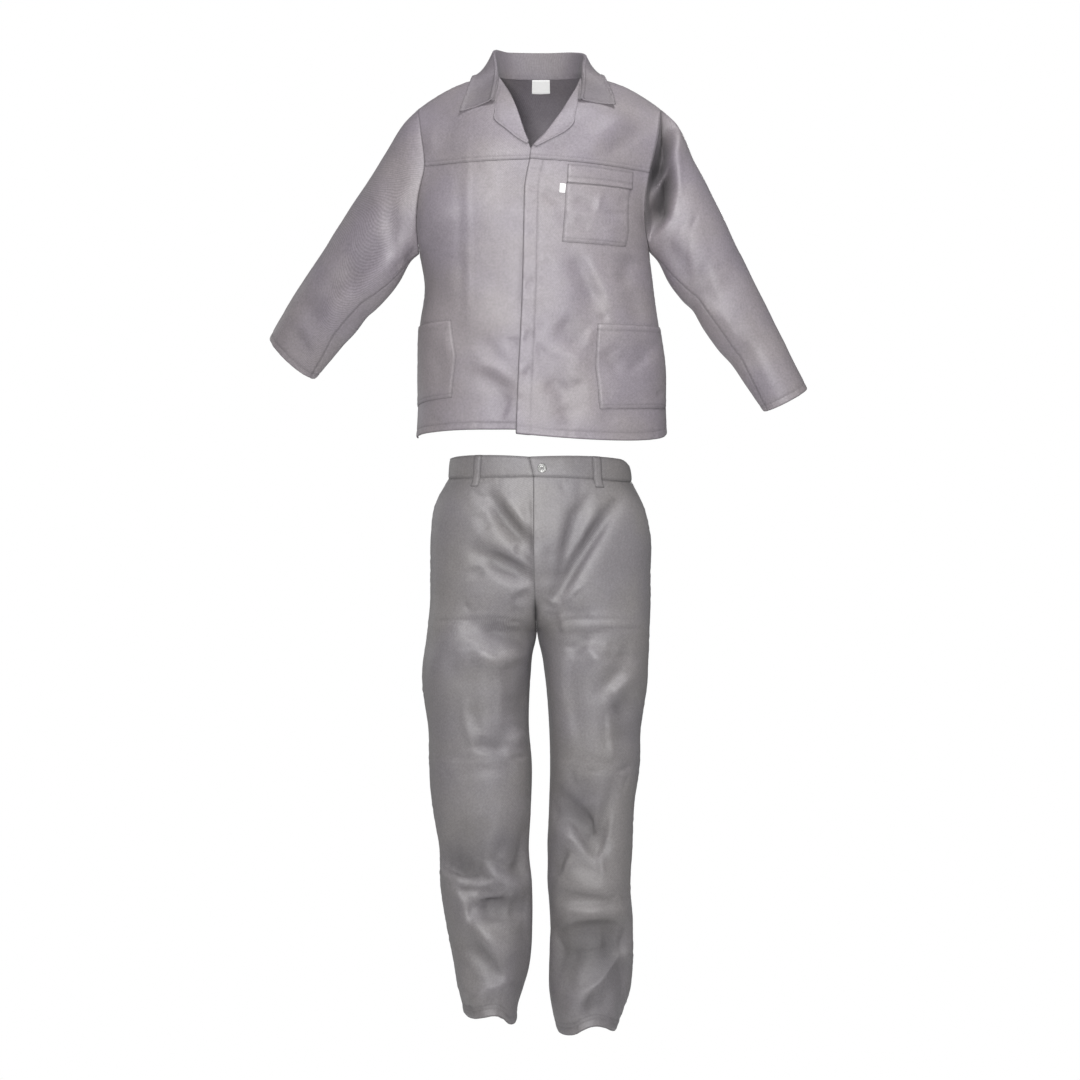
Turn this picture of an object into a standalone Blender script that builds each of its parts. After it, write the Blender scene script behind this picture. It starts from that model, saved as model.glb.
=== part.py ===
# Two-piece work overalls: a jacket above a pair of trousers, both hollow, in the form they take on.
# Tables are in millimetres. x runs to the wearer's left, y to the back, z up.
# The origin is on the jacket's middle plane, level with the neck ends of the shoulder seams.

import math

import bpy
import numpy as np
from mathutils.kdtree import KDTree

METRE = 0.001
WALL = 1.5
PLACKET_WALL = 3.0
FLY_WALL = 2.6
GAP = 0.3
SAME_POINT = 0.02
UNDERARM = -318
YOKE_SEAM = -158
CROTCH = -1076

# Jacket fronts: height of the row, edge x y z, pull of the row's curve at the edge x y,
# pull at the side x y, rise of the row between its ends
JACKET_FRONT = {
    "left": (
        (-690, -46, -129, -691, 172, -3, 0, -80, -18),
        (-646, -45, -129.5, -646, 172, -3, 0, -80, 0),
        (-560, -41, -130, -560, 168, -3, 0, -82, 0),
        (-476, -36.5, -131, -476, 160, -3, 0, -82, 0),
        (-400, -33.7, -131.5, -400, 150, -3, 0, -83, 0),
        (-318, -31.8, -132, -318, 143, -3, 0, -84, 0),
        (-262, -30.5, -132, -262, 140, -3, -14, -66, 0),
        (-210, -29, -132, -210, 136, -3, -42, -48, 0),
        (-158, -19.5, -131.5, -158, 120, -5, -55, -36, 0),
        (-142, -17.5, -130, -142, 115, -6, -57, -34, 0),
        (-100, 18.5, -117, -100, 78, -8, -60, -32, 2),
        (-60, 46.8, -90, -60, 62, -8, -60, -22, 6),
        (-25, 66.3, -52, -25, 56, -5, -57, -12, 13),
        (0, 80, -8, 6, 52, 5, -52, -5, 20),
    ),
    "right": (
        (-690, -18, -124.9, -684, -134, -3, 0, -78, 8),
        (-620, -17, -125.3, -618, -132, -3, 0, -78, 8),
        (-540, -13, -125.8, -540, -134, -3, 0, -80, 8),
        (-467, -8.5, -127.3, -467, -136, -3, 0, -80, 6),
        (-395, -5.7, -127.8, -395, -134, -3, 0, -82, 3),
        (-318, -3.8, -128.3, -318, -139, -3, 0, -84, 0),
        (-262, -2.5, -128.3, -262, -140, -3, 14, -66, 0),
        (-210, -1, -128.3, -210, -130, -3, 42, -48, 0),
        (-158, -10.7, -127.5, -159, -120, -5, 55, -36, 0),
        (-142, -17.5, -126, -142, -115, -6, 57, -34, 0),
        (-100, -31.8, -114, -100, -84, -8, 60, -32, 2),
        (-60, -45, -88, -60, -68, -8, 60, -22, 6),
        (-25, -60, -50, -25, -58, -5, 57, -12, 13),
        (0, -80, -8, 6, -52, 5, 52, -5, 20),
    ),
}

# Jacket side seams: height of the row, then x y z
SIDE_SEAM = {
    "left": (
        (-690, 248, 6, -690),
        (-646, 246, 6, -640),
        (-560, 242, 5, -558),
        (-476, 231, 4, -484),
        (-400, 220, 3, -412),
        (-318, 212.5, 3, -334),
    ),
    "right": (
        (-690, -241, 6, -698),
        (-620, -237, 6, -638),
        (-540, -236, 5, -556),
        (-467, -234.5, 4, -484),
        (-395, -225, 3, -408),
        (-318, -235, 3, -339),
    ),
}

# Armholes: z of the shoulder end, z of the underarm, y of each, reach to the front and the back
ARMHOLE = {
    "left": (-57, -334, 8, 3, 60, 66),
    "right": (-57, -339, 8, 3, 60, 66),
}
# Armhole seam as it runs down the body: z, then x
ARMHOLE_LINE = {
    "left": ((-334, 212.5), (-292, 205), (-245, 204), (-187, 212), (-107, 229), (-57, 236)),
    "right": ((-339, -235), (-292, -240), (-225, -236), (-172, -225), (-105, -232), (-57, -238.5)),
}
# Where each row meets the armhole: height, then degrees round from the shoulder end
ARMHOLE_TURN = {
    "left": ((-318, 180), (-262, 131), (-210, 104), (-158, 84), (-142, 77), (-100, 56), (-60, 36),
             (-25, 17), (0, 0)),
    "right": ((-318, 180), (-262, 131), (-210, 103), (-158, 78), (-142, 70), (-100, 52), (-60, 34),
              (-25, 16), (0, 0)),
}

# Jacket back: height of the row, y and z on the middle line, pull at the side x y
JACKET_BACK = (
    (-690, 124, -682, 0, 78),
    (-560, 128, -562, 0, 82),
    (-400, 134, -402, 0, 86),
    (-318, 138, -320, 0, 88),
    (-262, 140, -263, 16, 74),
    (-210, 141, -211, 44, 56),
    (-158, 139, -158, 58, 44),
    (-100, 129, -101, 62, 38),
    (-60, 115, -60, 62, 28),
    (-25, 94, -24, 58, 16),
    (0, 70, 7, 52, 6),
)
BACK_PULL = 0.58
# The back's neck is half an ellipse; NECK_SHARE of each top row is neck and the rest is shoulder
NECK_HALF_WIDTH = 80
NECK_SHARE = 0.42
TOP_BLEND = 170

# Sleeves: share of the length, outer edge x z, inner edge x z, half depth, middle y, reach of the front
SLEEVE = {
    "left": (
        (0.0, 236, -57, 212.5, -334, 62, 5, 0),
        (0.08, 265, -82, 227, -350, 62, 5, 0),
        (0.25, 304, -164, 250, -392, 62, 6, 0),
        (0.45, 360, -272, 290, -448, 58, 8, 0),
        (0.65, 423, -400, 337, -515, 52, 12, 2),
        (0.85, 484, -526, 392, -581, 44, 16, 4),
        (1.0, 522.6, -600, 437, -645, 37, 18, 6),
    ),
    "right": (
        (0.0, -238.5, -57, -235, -339, 62, 5, 0),
        (0.08, -262, -80, -251, -354, 62, 8, 0),
        (0.25, -320, -170, -279, -400, 63, 20, 0),
        (0.45, -388, -270, -322, -447, 59, 48, 2),
        (0.65, -451, -368, -365, -494, 53, 80, 6),
        (0.85, -505, -449, -407, -538, 45, 112, 10),
        (1.0, -533, -497, -442, -578, 37, 134, 14),
    ),
}
SLEEVE_RINGS = (0, 0.04, 0.08, 0.14, 0.21, 0.29, 0.37, 0.45, 0.54, 0.63, 0.72, 0.81, 0.91, 1)
SLEEVE_BLEND = 0.3
# Seams between the upper and the under piece of each sleeve, in degrees round
UNDER_SEAMS = (125, 290)

# Collar, from the notch to the middle of the back and on: seam x y z, roll x y z, edge x y z.
# A y of None is read from the front below it, with COLLAR_LIFT between them.
COLLAR_ENDS = {
    "left": (
        ((74, None, -47), (95, None, -52), (143, None, -56)),
        ((77, None, -27), (90, None, -32), (141, None, -44)),
        ((81, None, -8), (86, -22, 6), (137, None, -29)),
    ),
    "right": (
        ((-88, None, -49), (-110, None, -55.5), (-153, None, -69)),
        ((-84, None, -28), (-98, None, -33), (-149, None, -52)),
        ((-80, None, -7), (-86, -20, 9), (-142, None, -36)),
    ),
}
COLLAR_BACK = (
    ((-86, -8, 27), (-133, -10, 3)),
    ((-90, 20, 54), (-126, 26, 5)),
    ((-62, 66, 55), (-90, 88, -2)),
    ((-20, 78, 55), (-27, 104, -8)),
    ((24, 77, 55), (31, 104, -8)),
    ((65, 62, 54.5), (94, 84, -2)),
    ((88, 20, 46), (121, 26, 6)),
    ((85, -8, 26), (126, -10, 4)),
)
COLLAR_LIFT = 3.2
COLLAR_FOLD = 2.0

# Lapels: roll line x z, outer edge x z, from the lower tip to the collar
LAPEL = {
    "left": (
        ((-13, -135), (-7, -138)),
        ((2, -121), (16, -126)),
        ((20, -99), (46, -110)),
        ((39, -74), (64, -94)),
        ((58, -43), (68, -74)),
        ((76, -12), (74, -49)),
    ),
    "right": (
        ((-22, -129), (-26, -132)),
        ((-29, -112), (-44, -121)),
        ((-36, -91), (-66, -103)),
        ((-44, -66), (-87, -86)),
        ((-56, -38), (-88, -70)),
        ((-76, -11), (-87, -52)),
    ),
}
LAPEL_LIFT = 1.3
LAPEL_COLUMNS = (0.0, 0.35, 0.7, 1.0)

# Columns of the jacket fronts: height, then each column's share of the row there. The placket's
# stitch line and the pockets' upright edges are columns.
FRONT_COLUMNS = {
    "left": (
        (-690, 0, 0.052, 0.19, 0.355, 0.48, 0.61, 0.74, 0.87, 1),
        (-646, 0, 0.053, 0.19, 0.355, 0.48, 0.61, 0.74, 0.87, 1),
        (-560, 0, 0.055, 0.19, 0.335, 0.47, 0.6, 0.73, 0.865, 1),
        (-476, 0, 0.057, 0.195, 0.361, 0.48, 0.6, 0.73, 0.865, 1),
        (-318, 0, 0.058, 0.184, 0.325, 0.46, 0.597, 0.73, 0.865, 1),
        (-204, 0, 0.06, 0.223, 0.4, 0.59, 0.786, 0.86, 0.93, 1),
        (-158, 0, 0.062, 0.223, 0.4, 0.59, 0.79, 0.865, 0.935, 1),
    ),
    "right": (
        (-690, 0, 0.12, 0.25, 0.37, 0.48, 0.61, 0.74, 0.87, 1),
        (-620, 0, 0.12, 0.25, 0.37, 0.475, 0.61, 0.74, 0.87, 1),
        (-540, 0, 0.12, 0.24, 0.35, 0.45, 0.6, 0.74, 0.87, 1),
        (-467, 0, 0.12, 0.25, 0.38, 0.507, 0.63, 0.75, 0.87, 1),
        (-158, 0, 0.12, 0.25, 0.38, 0.5, 0.62, 0.75, 0.88, 1),
    ),
}
FRONT_COLUMN_COUNT = 9
PLACKET_COLUMN = 1
JACKET_ROWS = (-690, -655, -618, -580, -542, -505, -467, -430, -392, -355, -318, -284, -247, -204, -158,
               -142, -110, -75, -45, -20, 0)
NECK_COLUMNS = {"left": (19.5, 50, 72, 80), "right": (15.6, 45, 70, 80)}

# Pockets of the jacket: lower and upper row height, then first and last share of the front's columns
POCKETS = {
    "pocket_chest": ("left", (-318, -202), (2, 5), 0),
    "pocket_flap": ("left", (-203, -167), (2.03, 5.25), 1),
    "pocket_lower_left": ("left", (-646, -476), (3, 8), 0),
    "pocket_lower_right": ("right", (-620, -467), (4, 8), 0),
}
SIDE_TAB = ("left", (-223, -206), (1.77, 1.98))
TRIM_THICKNESS = 1.2
TRIM_LIFT = 0.85
# Neck label: rows of the back that it spans, counted down from the neck, and its wall
LABEL_ROWS = (1.05, 0.02)
LABEL_WALL = 1

# Trousers, outer edge at the side seam and inner edge at the inseam: height, outer x z, inner x z
LEG_EDGES = {
    "left": (
        (-778, 178, -784, -12, -775),
        (-829, 201, -829, -12, -829),
        (-887, 216, -887, -12, -887),
        (-965, 216, -965, -11, -965),
        (-1043, 216, -1043, -8, -1043),
        (-1076, 214, -1076, -6, -1076),
        (-1121, 211, -1121, 4, -1121),
        (-1180, 209, -1180, 11.7, -1180),
        (-1258, 197, -1258, 17.5, -1258),
        (-1336, 194, -1336, 19.5, -1336),
        (-1414, 184, -1414, 17.5, -1414),
        (-1492, 181, -1492, 15.6, -1492),
        (-1570, 176.5, -1570, 15.6, -1570),
        (-1648, 181, -1650, 21.5, -1652),
        (-1726, 181, -1736, 17.5, -1738),
        (-1765, 175.5, -1778, 19.5, -1782),
        (-1804, 161, -1818, 27, -1820),
        (-1829, 152, -1843, 33, -1846),
    ),
    "right": (
        (-778, -179, -778, -12, -775),
        (-829, -205, -829, -12, -829),
        (-887, -212.5, -887, -12, -887),
        (-965, -214.5, -965, -11, -965),
        (-1043, -214.5, -1043, -8, -1043),
        (-1076, -218, -1076, -6, -1076),
        (-1121, -228, -1121, -15.6, -1121),
        (-1180, -230, -1180, -19.5, -1180),
        (-1258, -218, -1258, -21.5, -1258),
        (-1336, -216.5, -1336, -15.6, -1336),
        (-1414, -208.7, -1414, -17.5, -1414),
        (-1492, -197, -1492, -23, -1492),
        (-1570, -195, -1570, -15.6, -1570),
        (-1648, -183, -1648, -15.6, -1648),
        (-1726, -168, -1726, -21.5, -1728),
        (-1765, -162, -1764, -33, -1768),
        (-1804, -154, -1794, -45, -1804),
        (-1829, -150, -1815, -47, -1829),
    ),
}
# Middle seam above the crotch: height, x, y and z at the front, y and z at the back
CENTRE_SEAM = (
    (-1076, -6, 4, -1076, 4, -1076),
    (-1060, -7, -30, -1064, 44, -1066),
    (-1043, -8, -62, -1045, 74, -1048),
    (-1024, -9, -84, -1024, 97, -1025),
    (-1005, -10, -97, -1005, 113, -1005),
    (-965, -11, -111, -965, 128, -965),
    (-887, -12, -117, -887, 132, -887),
    (-829, -12, -112, -829, 121, -829),
    (-778, -12, -104, -775, 107, -775),
)
# Fullness of the trousers' rows: height, pull at the inner edge x y, pull at the side y, for the
# front and then for the back
LEG_PULLS = (
    (-1829, 0, -120, -120, 0, 120, 120),
    (-1765, 0, -117, -117, 0, 117, 117),
    (-1648, 0, -110, -110, 0, 112, 112),
    (-1492, 0, -104, -104, 0, 108, 108),
    (-1414, 0, -104, -104, 0, 110, 110),
    (-1336, 0, -112, -112, 0, 118, 118),
    (-1258, 0, -124, -124, 0, 130, 130),
    (-1180, 0, -134, -134, 0, 142, 142),
    (-1121, 4, -138, -140, 4, 146, 148),
    (-1076, 26, -128, -132, 32, 122, 136),
    (-1043, 52, -62, -104, 60, 56, 118),
    (-1005, 84, -26, -86, 84, 26, 96),
    (-965, 104, -8, -78, 104, 8, 84),
    (-887, 112, 0, -72, 114, 0, 80),
    (-829, 108, 0, -68, 108, 0, 74),
    (-778, 95, 0, -62, 96, 0, 66),
)
CENTRE_X = -8
FORK_BLEND = 100
HEM_ARCH = 4
HEM_DIP = 12
HEM_REACH = 90
LEG_ROWS = (-1829, -1804, -1772, -1736, -1700, -1664, -1628, -1592, -1556, -1518, -1480, -1442, -1404,
            -1366, -1328, -1290, -1252, -1214, -1176, -1145, -1118, -1096, -1076, -1060, -1043, -1024,
            -1005, -975, -945, -915, -885, -855, -829, -804, -778)
FRONT_SHARES = (0, 0.11, 0.2, 0.3, 0.4, 0.5, 0.6, 0.7, 0.8, 0.9, 1)
BACK_SHARES = (0, 0.14, 0.28, 0.42, 0.56, 0.7, 0.85, 1)
FLY_ROW = -1005
FLY_COLUMN = 2

# Waistband: height, how far it leans in, and how far its ends at the fly slant towards the right
BAND_HEIGHT = 38.5
BAND_RISE = 5
BAND_LEAN = 3
BAND_SLANT = -9
# Belt loops: the panel that each is sewn to and its column there; rows of a loop as shares of the
# trouser row below the band and of the band, with how far each stands off
BELT_LOOPS = {
    "belt_loop_front_right": ("trousers_front_right", 4.5),
    "belt_loop_front_left": ("trousers_front_left", 4.65),
    "belt_loop_side_right": ("trousers_back_right", 5.6),
    "belt_loop_side_left": ("trousers_back_left", 5.6),
}
LOOP_HALF_COLUMN = 0.34
LOOP_ROWS = ((0.4, 0.4), (0.62, 0.6), (1, 2.6), (1.5, 3.2), (2, 2.6), (2.9, 0.5))
LOOP_THICKNESS = 1.4

BUTTON_PLACE = (4, -758)
BUTTON_SHARE = 0.07
BUTTON_LIFT = 0.9
# Radius and height of each ring of the button, from the middle of its face to the middle of its foot
BUTTON_PROFILE = ((0, 2.6), (2.2, 2.4), (3.6, 1.5), (5.2, 1.5), (6.4, 2.9), (7.6, 3.2), (8.8, 2.2),
                  (8.8, 0.9), (7.4, 0.0), (0, 0.0))
BUTTON_STEPS = 20

# Large folds: start x z, end x z, half width, depth (negative stands out), front or back
FOLDS = (
    (-150, -520, -205, -395, 30, 4, "front"),
    (60, -640, 20, -560, 26, 5, "front"),
    (-90, -670, -60, -600, 28, 5, "front"),
    (95, -430, 120, -560, 28, 5, "front"),
    (-95, -819, -30, -905, 18, 11, "front"),
    (-122, -922, -30, -965, 18, 10, "front"),
    (90, -825, 45, -959, 18, 10, "front"),
    (148, -831, 35, -1005, 17, 12, "front"),
    (-129, -1066, -40, -1094, 20, 11, "front"),
    (-110, -1128, -30, -1118, 16, -7, "front"),
    (-60, -1150, -70, -1290, 22, 7, "front"),
    (60, -1085, 170, -1100, 20, 7, "front"),
    (120, -1190, 175, -1130, 20, 9, "front"),
    (-150, -1336, -60, -1338, 14, 5, "front"),
    (60, -1338, 140, -1334, 14, 5, "front"),
    (-190, -1540, -130, -1556, 15, -8, "front"),
    (-150, -1577, -80, -1574, 15, 8, "front"),
    (-130, -1612, -48, -1616, 18, 10, "front"),
    (-120, -1650, -60, -1752, 16, -8, "front"),
    (145, -1368, 118, -1490, 14, 7, "front"),
    (28, -1384, 112, -1496, 16, 7, "front"),
    (45, -1594, 168, -1598, 14, 8, "front"),
    (40, -1664, 150, -1655, 18, 10, "front"),
    (170, -1700, 60, -1812, 16, -8, "front"),
    (-70, -1100, -170, -1130, 22, 8, "back"),
    (70, -1100, 165, -1135, 22, 8, "back"),
    (-60, -1390, -190, -1360, 18, 9, "back"),
    (50, -1370, 170, -1395, 18, 9, "back"),
    (-60, -1470, -180, -1440, 18, -8, "back"),
    (50, -1450, 165, -1480, 18, -8, "back"),
    (-60, -1620, -160, -1600, 18, 9, "back"),
    (45, -1640, 160, -1610, 18, 9, "back"),
    (-60, -900, -150, -960, 26, 6, "back"),
    (50, -900, 150, -960, 26, 6, "back"),
    (-120, -560, -60, -420, 30, 6, "back"),
    (120, -580, 70, -430, 30, 6, "back"),
)
FOLD_FADE = 45
FOLD_END_LOSS = 0.35
FOLD_SIDEWAYS = 0.6
# Folds of the sleeves: side, share of the length, degrees round, degrees and share each way, depth
SLEEVE_FOLDS = (
    ("left", 0.2, 95, 60, 0.06, 5),
    ("left", 0.47, 150, 70, 0.05, 5),
    ("left", 0.56, 60, 60, 0.05, 4),
    ("left", 0.78, 120, 70, 0.05, 4),
    ("left", 0.5, 250, 70, 0.05, 5),
    ("right", 0.22, 100, 60, 0.06, 5),
    ("right", 0.5, 140, 70, 0.05, 4),
    ("right", 0.74, 80, 70, 0.05, 4),
    ("right", 0.55, 250, 70, 0.05, 5),
)

CLOTH_COLOURS = {"jacket": (0.33, 0.3, 0.34), "trousers": (0.28, 0.27, 0.29)}
LABEL_COLOUR = (0.88, 0.88, 0.86)
METAL_COLOUR = (0.55, 0.53, 0.5)
CLOTH_ROUGHNESS = 0.62
LABEL_ROUGHNESS = 0.7
METAL_ROUGHNESS = 0.35
SHARP_DEGREES = 50
# Where a seam turns sharply, walls stop growing at this share of their lean, and corners at this reach
LEAST_LEAN = 0.55
LEAST_CORNER = 0.35
LEAST_SUM = 0.2
# A laid piece takes in the lines of the cloth below that are farther than this from its own edges
LINE_MARGIN = 0.03
SEARCH_STEPS = 14


# Reads a table between its rows with a smooth curve through them
def between(table, key):
    rows = np.array(table, dtype=float)
    if rows[0, 0] > rows[-1, 0]:
        rows = rows[::-1]
    keys = rows[:, 0]
    values = rows[:, 1:]
    slopes = np.gradient(values, keys, axis=0)
    low = int(np.clip(np.searchsorted(keys, key) - 1, 0, len(keys) - 2))
    span = keys[low + 1] - keys[low]
    t = (key - keys[low]) / span
    start = (1 + 2 * t) * (1 - t) ** 2 * values[low] + t * (1 - t) ** 2 * span * slopes[low]
    end = t * t * (3 - 2 * t) * values[low + 1] + t * t * (t - 1) * span * slopes[low + 1]
    return start + end


def bezier(a, b, c, d, t):
    return (1 - t) ** 3 * a + 3 * (1 - t) ** 2 * t * b + 3 * (1 - t) * t * t * c + t ** 3 * d


def ease(t):
    t = min(max(t, 0.0), 1.0)
    return t * t * (3 - 2 * t)


# Depth of the large folds at a point, from its distance to each fold's line
def fold_depth(point):
    face = "front" if point[1] < 0 else "back"
    depth = 0.0
    for x1, z1, x2, z2, width, fold, where in FOLDS:
        if where != face:
            continue
        along = np.array((x2 - x1, z2 - z1))
        offset = np.array((point[0] - x1, point[2] - z1))
        share = float(np.clip(offset @ along / (along @ along), 0, 1))
        reach = np.linalg.norm(offset - share * along)
        depth += fold * math.exp(-(reach / width) ** 2) * (1 - FOLD_END_LOSS * abs(2 * share - 1))
    return depth * ease(abs(point[1]) / FOLD_FADE)


# Moves a point of the body or a leg in towards the axis of its tube by the folds there
def with_folds(point, axis_x):
    outward = np.array((FOLD_SIDEWAYS * (point[0] - axis_x), point[1], 0.0))
    length = np.linalg.norm(outward)
    if length < 1:
        return point
    return point - outward / length * fold_depth(point)


def side_point(side, height, back=False):
    if height <= UNDERARM:
        return between(SIDE_SEAM[side], height)
    top, low, top_y, low_y, front_reach, back_reach = ARMHOLE[side]
    turn = math.radians(between(ARMHOLE_TURN[side], height)[0])
    z = (top + low) / 2 + (top - low) / 2 * math.cos(turn)
    x = between(ARMHOLE_LINE[side], z)[0]
    y = low_y + (top_y - low_y) * (z - low) / (top - low)
    y += (back_reach if back else -front_reach) * math.sin(turn)
    return np.array((x, y, z))


def front_point(side, share, height):
    x, y, z, edge_x, edge_y, side_x, side_y, rise = between(JACKET_FRONT[side], height)
    edge = np.array((x, y, z))
    outer = side_point(side, height)
    third = (outer[2] - z) / 3
    near = edge + (edge_x, edge_y, third + rise)
    far = outer + (side_x, side_y, -third + rise)
    return with_folds(bezier(edge, near, far, outer, share), 0)


# Share of the back's top row at a distance out from the middle of the neck
def neck_share(reach):
    return math.asin(min(reach / NECK_HALF_WIDTH, 1)) / (math.pi / 2) * NECK_SHARE


def shoulder_and_neck(side, share):
    if share >= NECK_SHARE:
        return front_point(side, (share - NECK_SHARE) / (1 - NECK_SHARE), 0)
    neck = front_point(side, 0, 0)
    middle_y, middle_z = between(JACKET_BACK, 0)[:2]
    turn = share / NECK_SHARE * math.pi / 2
    y = neck[1] + (middle_y - neck[1]) * math.cos(turn)
    return np.array((neck[0] * math.sin(turn), y, middle_z + (neck[2] - middle_z) * math.sin(turn)))


def back_row(side, share, height):
    y, z, side_x, side_y = between(JACKET_BACK, height)
    middle = np.array((0, y, z))
    outer = side_point(side, height, back=True)
    third = (outer[2] - z) / 3
    near = middle + (BACK_PULL * outer[0], 0, third)
    far = outer + (-math.copysign(side_x, outer[0]), side_y, -third)
    return bezier(middle, near, far, outer, share)


def back_point(side, share, height):
    point = back_row(side, share, height)
    blend = ease((height + TOP_BLEND) / TOP_BLEND) ** 2
    point = point + blend * (shoulder_and_neck(side, share) - back_row(side, share, 0))
    return with_folds(point, 0)


def leg_point(side, share, height, back=False):
    outer_x, outer_z, inner_x, inner_z = between(LEG_EDGES[side], height)
    pulls = between(LEG_PULLS, height)[3:] if back else between(LEG_PULLS, height)[:3]
    inner = np.array((inner_x, 5.0, inner_z))
    if height >= CROTCH:
        seam = between(CENTRE_SEAM, height)
        inner = np.array((seam[0], *(seam[3:] if back else seam[1:3])))
    outer = np.array((outer_x, 5.0, outer_z))
    sign = math.copysign(1, outer_x)
    low = ease(1 - (height - LEG_ROWS[0]) / HEM_REACH)
    arch = HEM_ARCH * low
    near = inner + (sign * pulls[0], pulls[1], arch)
    far = outer + (0, pulls[2], arch)
    axis_x = CENTRE_X + ((inner_x + outer_x) / 2 - CENTRE_X) * ease((CROTCH - height) / FORK_BLEND)
    point = bezier(inner, near, far, outer, share)
    point[2] -= HEM_DIP * low * math.sin(2 * math.pi * share) ** 2
    return with_folds(point, axis_x)


def sleeve_ring(side, turns, share):
    row = between(SLEEVE[side], share)
    outer = np.array((row[0], 0, row[1]))
    inner = np.array((row[2], 0, row[3]))
    half_depth, middle_y, reach = row[4:]
    half = (outer - inner) / 2
    down = np.array((-half[2], 0, half[0])) / np.linalg.norm(half)
    down *= -math.copysign(1, down[2])
    ring = []
    for turn in turns:
        angle = math.radians(turn)
        inward = 0.0
        for where, place, middle, wide, long, depth in SLEEVE_FOLDS:
            if where == side:
                inward += depth * math.exp(-((turn - middle) / wide) ** 2 - ((share - place) / long) ** 2)
        spread = half * math.cos(angle) + np.array((0, -half_depth * math.sin(angle), 0))
        spread *= 1 - inward / np.linalg.norm(spread)
        middle_point = (outer + inner) / 2 + np.array((0, middle_y, 0))
        ring.append(middle_point + spread + down * reach * math.sin(angle))
    return np.array(ring)


def column_share(side, column, height):
    heights, *columns = np.array(FRONT_COLUMNS[side], dtype=float).T
    shares = [np.interp(height, heights, column_shares) for column_shares in columns]
    return float(np.interp(column, range(len(shares)), shares))


def front_grid(side, heights, columns):
    return np.array([[front_point(side, column_share(side, c, h), h) for c in columns] for h in heights])


# Unit normals of a grid of points; each row runs so that the cross product points out of the garment
def grid_normals(grid, flip):
    across = np.gradient(grid, axis=1)
    along = np.gradient(grid, axis=0)
    normals = np.cross(across, along)
    normals /= np.linalg.norm(normals, axis=2, keepdims=True)
    return -normals if flip else normals


# One cloth piece: its grid of points, which side faces out, its wall, the cells that are cloth
class Piece:
    def __init__(self, name, grid, flip=False, wall=WALL, cells=None, ring=False, lift=0.0):
        self.name = name
        self.grid = grid
        self.ring = ring
        self.wall = wall
        self.lift = lift
        rows, columns = grid.shape[:2]
        if ring:
            wrapped = np.concatenate((grid[:, -1:], grid, grid[:, :1]), axis=1)
            self.normals = grid_normals(wrapped, flip)[:, 1:-1]
        else:
            self.normals = grid_normals(grid, flip)
        self.own = self.normals.copy()
        self.flip = flip
        last = columns if ring else columns - 1
        every = [(r, c) for r in range(rows - 1) for c in range(last)]
        self.cells = [cell for cell in every if cells is None or cells(*cell)]

    def corners(self, row, column):
        following = (column + 1) % self.grid.shape[1]
        loop = [(row, column), (row, following), (row + 1, following), (row + 1, column)]
        return loop[::-1] if self.flip else loop

    # Edges of the cloth that only one cell has
    def rim(self):
        found = {}
        for cell in self.cells:
            loop = self.corners(*cell)
            found.update(dict.fromkeys(zip(loop, loop[1:] + loop[:1])))
        return [edge for edge in found if (edge[1], edge[0]) not in found]


# Gives the pieces that meet along a seam one normal at each shared point
def share_normals(pieces):
    places = [(piece, key) for piece in pieces for key in sorted({e[0] for e in piece.rim()})]
    tree = KDTree(len(places))
    for index, (piece, key) in enumerate(places):
        tree.insert(piece.grid[key], index)
    tree.balance()
    for piece, key in places:
        near = tree.find_range(piece.grid[key], SAME_POINT)
        total = sum(places[index][0].own[places[index][1]] for _, index, _ in near)
        length = np.linalg.norm(total)
        if length > LEAST_SUM:
            piece.normals[key] = total / length


# Closed solid of a piece: outer face, inner face and the rim, trimmed back by half a gap
def solid(piece, material):
    rim = piece.rim()
    inward = {}
    for start, end in rim:
        for key in (start, end):
            side = np.cross(piece.normals[key], piece.grid[end] - piece.grid[start])
            inward.setdefault(key, []).append(side / np.linalg.norm(side))
    used = sorted({key for cell in piece.cells for key in piece.corners(*cell)})
    outer = []
    inner = []
    for key in used:
        point = piece.grid[key].copy()
        if key in inward:
            first, second = inward[key][0], inward[key][-1]
            point += GAP / 2 * (first + second) / max(1 + first @ second, LEAST_CORNER)
        normal = piece.normals[key]
        lean = max(normal @ piece.own[key], LEAST_LEAN)
        outer.append(point + normal * (piece.lift / lean))
        inner.append(point + normal * ((piece.lift - piece.wall) / lean))
    count = len(used)
    index = {key: i for i, key in enumerate(used)}
    faces = []
    for cell in piece.cells:
        a, b, c, d = [index[key] for key in piece.corners(*cell)]
        faces += [(a, b, c), (a, c, d)]
        faces += [(c + count, b + count, a + count), (d + count, c + count, a + count)]
    for start, end in rim:
        a, b = index[start], index[end]
        if tuple(np.round(piece.grid[start], 2)) < tuple(np.round(piece.grid[end], 2)):
            faces += [(b, a, a + count), (b, a + count, b + count)]
        else:
            faces += [(b, a, b + count), (a, a + count, b + count)]
    return add_object(piece.name, outer + inner, faces, material)


def add_object(name, points, faces, material):
    mesh = bpy.data.meshes.new(name)
    mesh.from_pydata([tuple(np.array(p) * METRE) for p in points], [], faces)
    mesh.materials.append(material)
    mesh.shade_smooth()
    mesh.set_sharp_from_angle(angle=math.radians(SHARP_DEGREES))
    item = bpy.data.objects.new(name, mesh)
    bpy.context.scene.collection.objects.link(item)
    return item


def make_material(name, colour, roughness, metallic=0.0):
    material = bpy.data.materials.new(name)
    material.use_nodes = True
    shader = material.node_tree.nodes["Principled BSDF"]
    shader.inputs["Base Color"].default_value = (*colour, 1)
    shader.inputs["Roughness"].default_value = roughness
    shader.inputs["Metallic"].default_value = metallic
    return material


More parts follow.
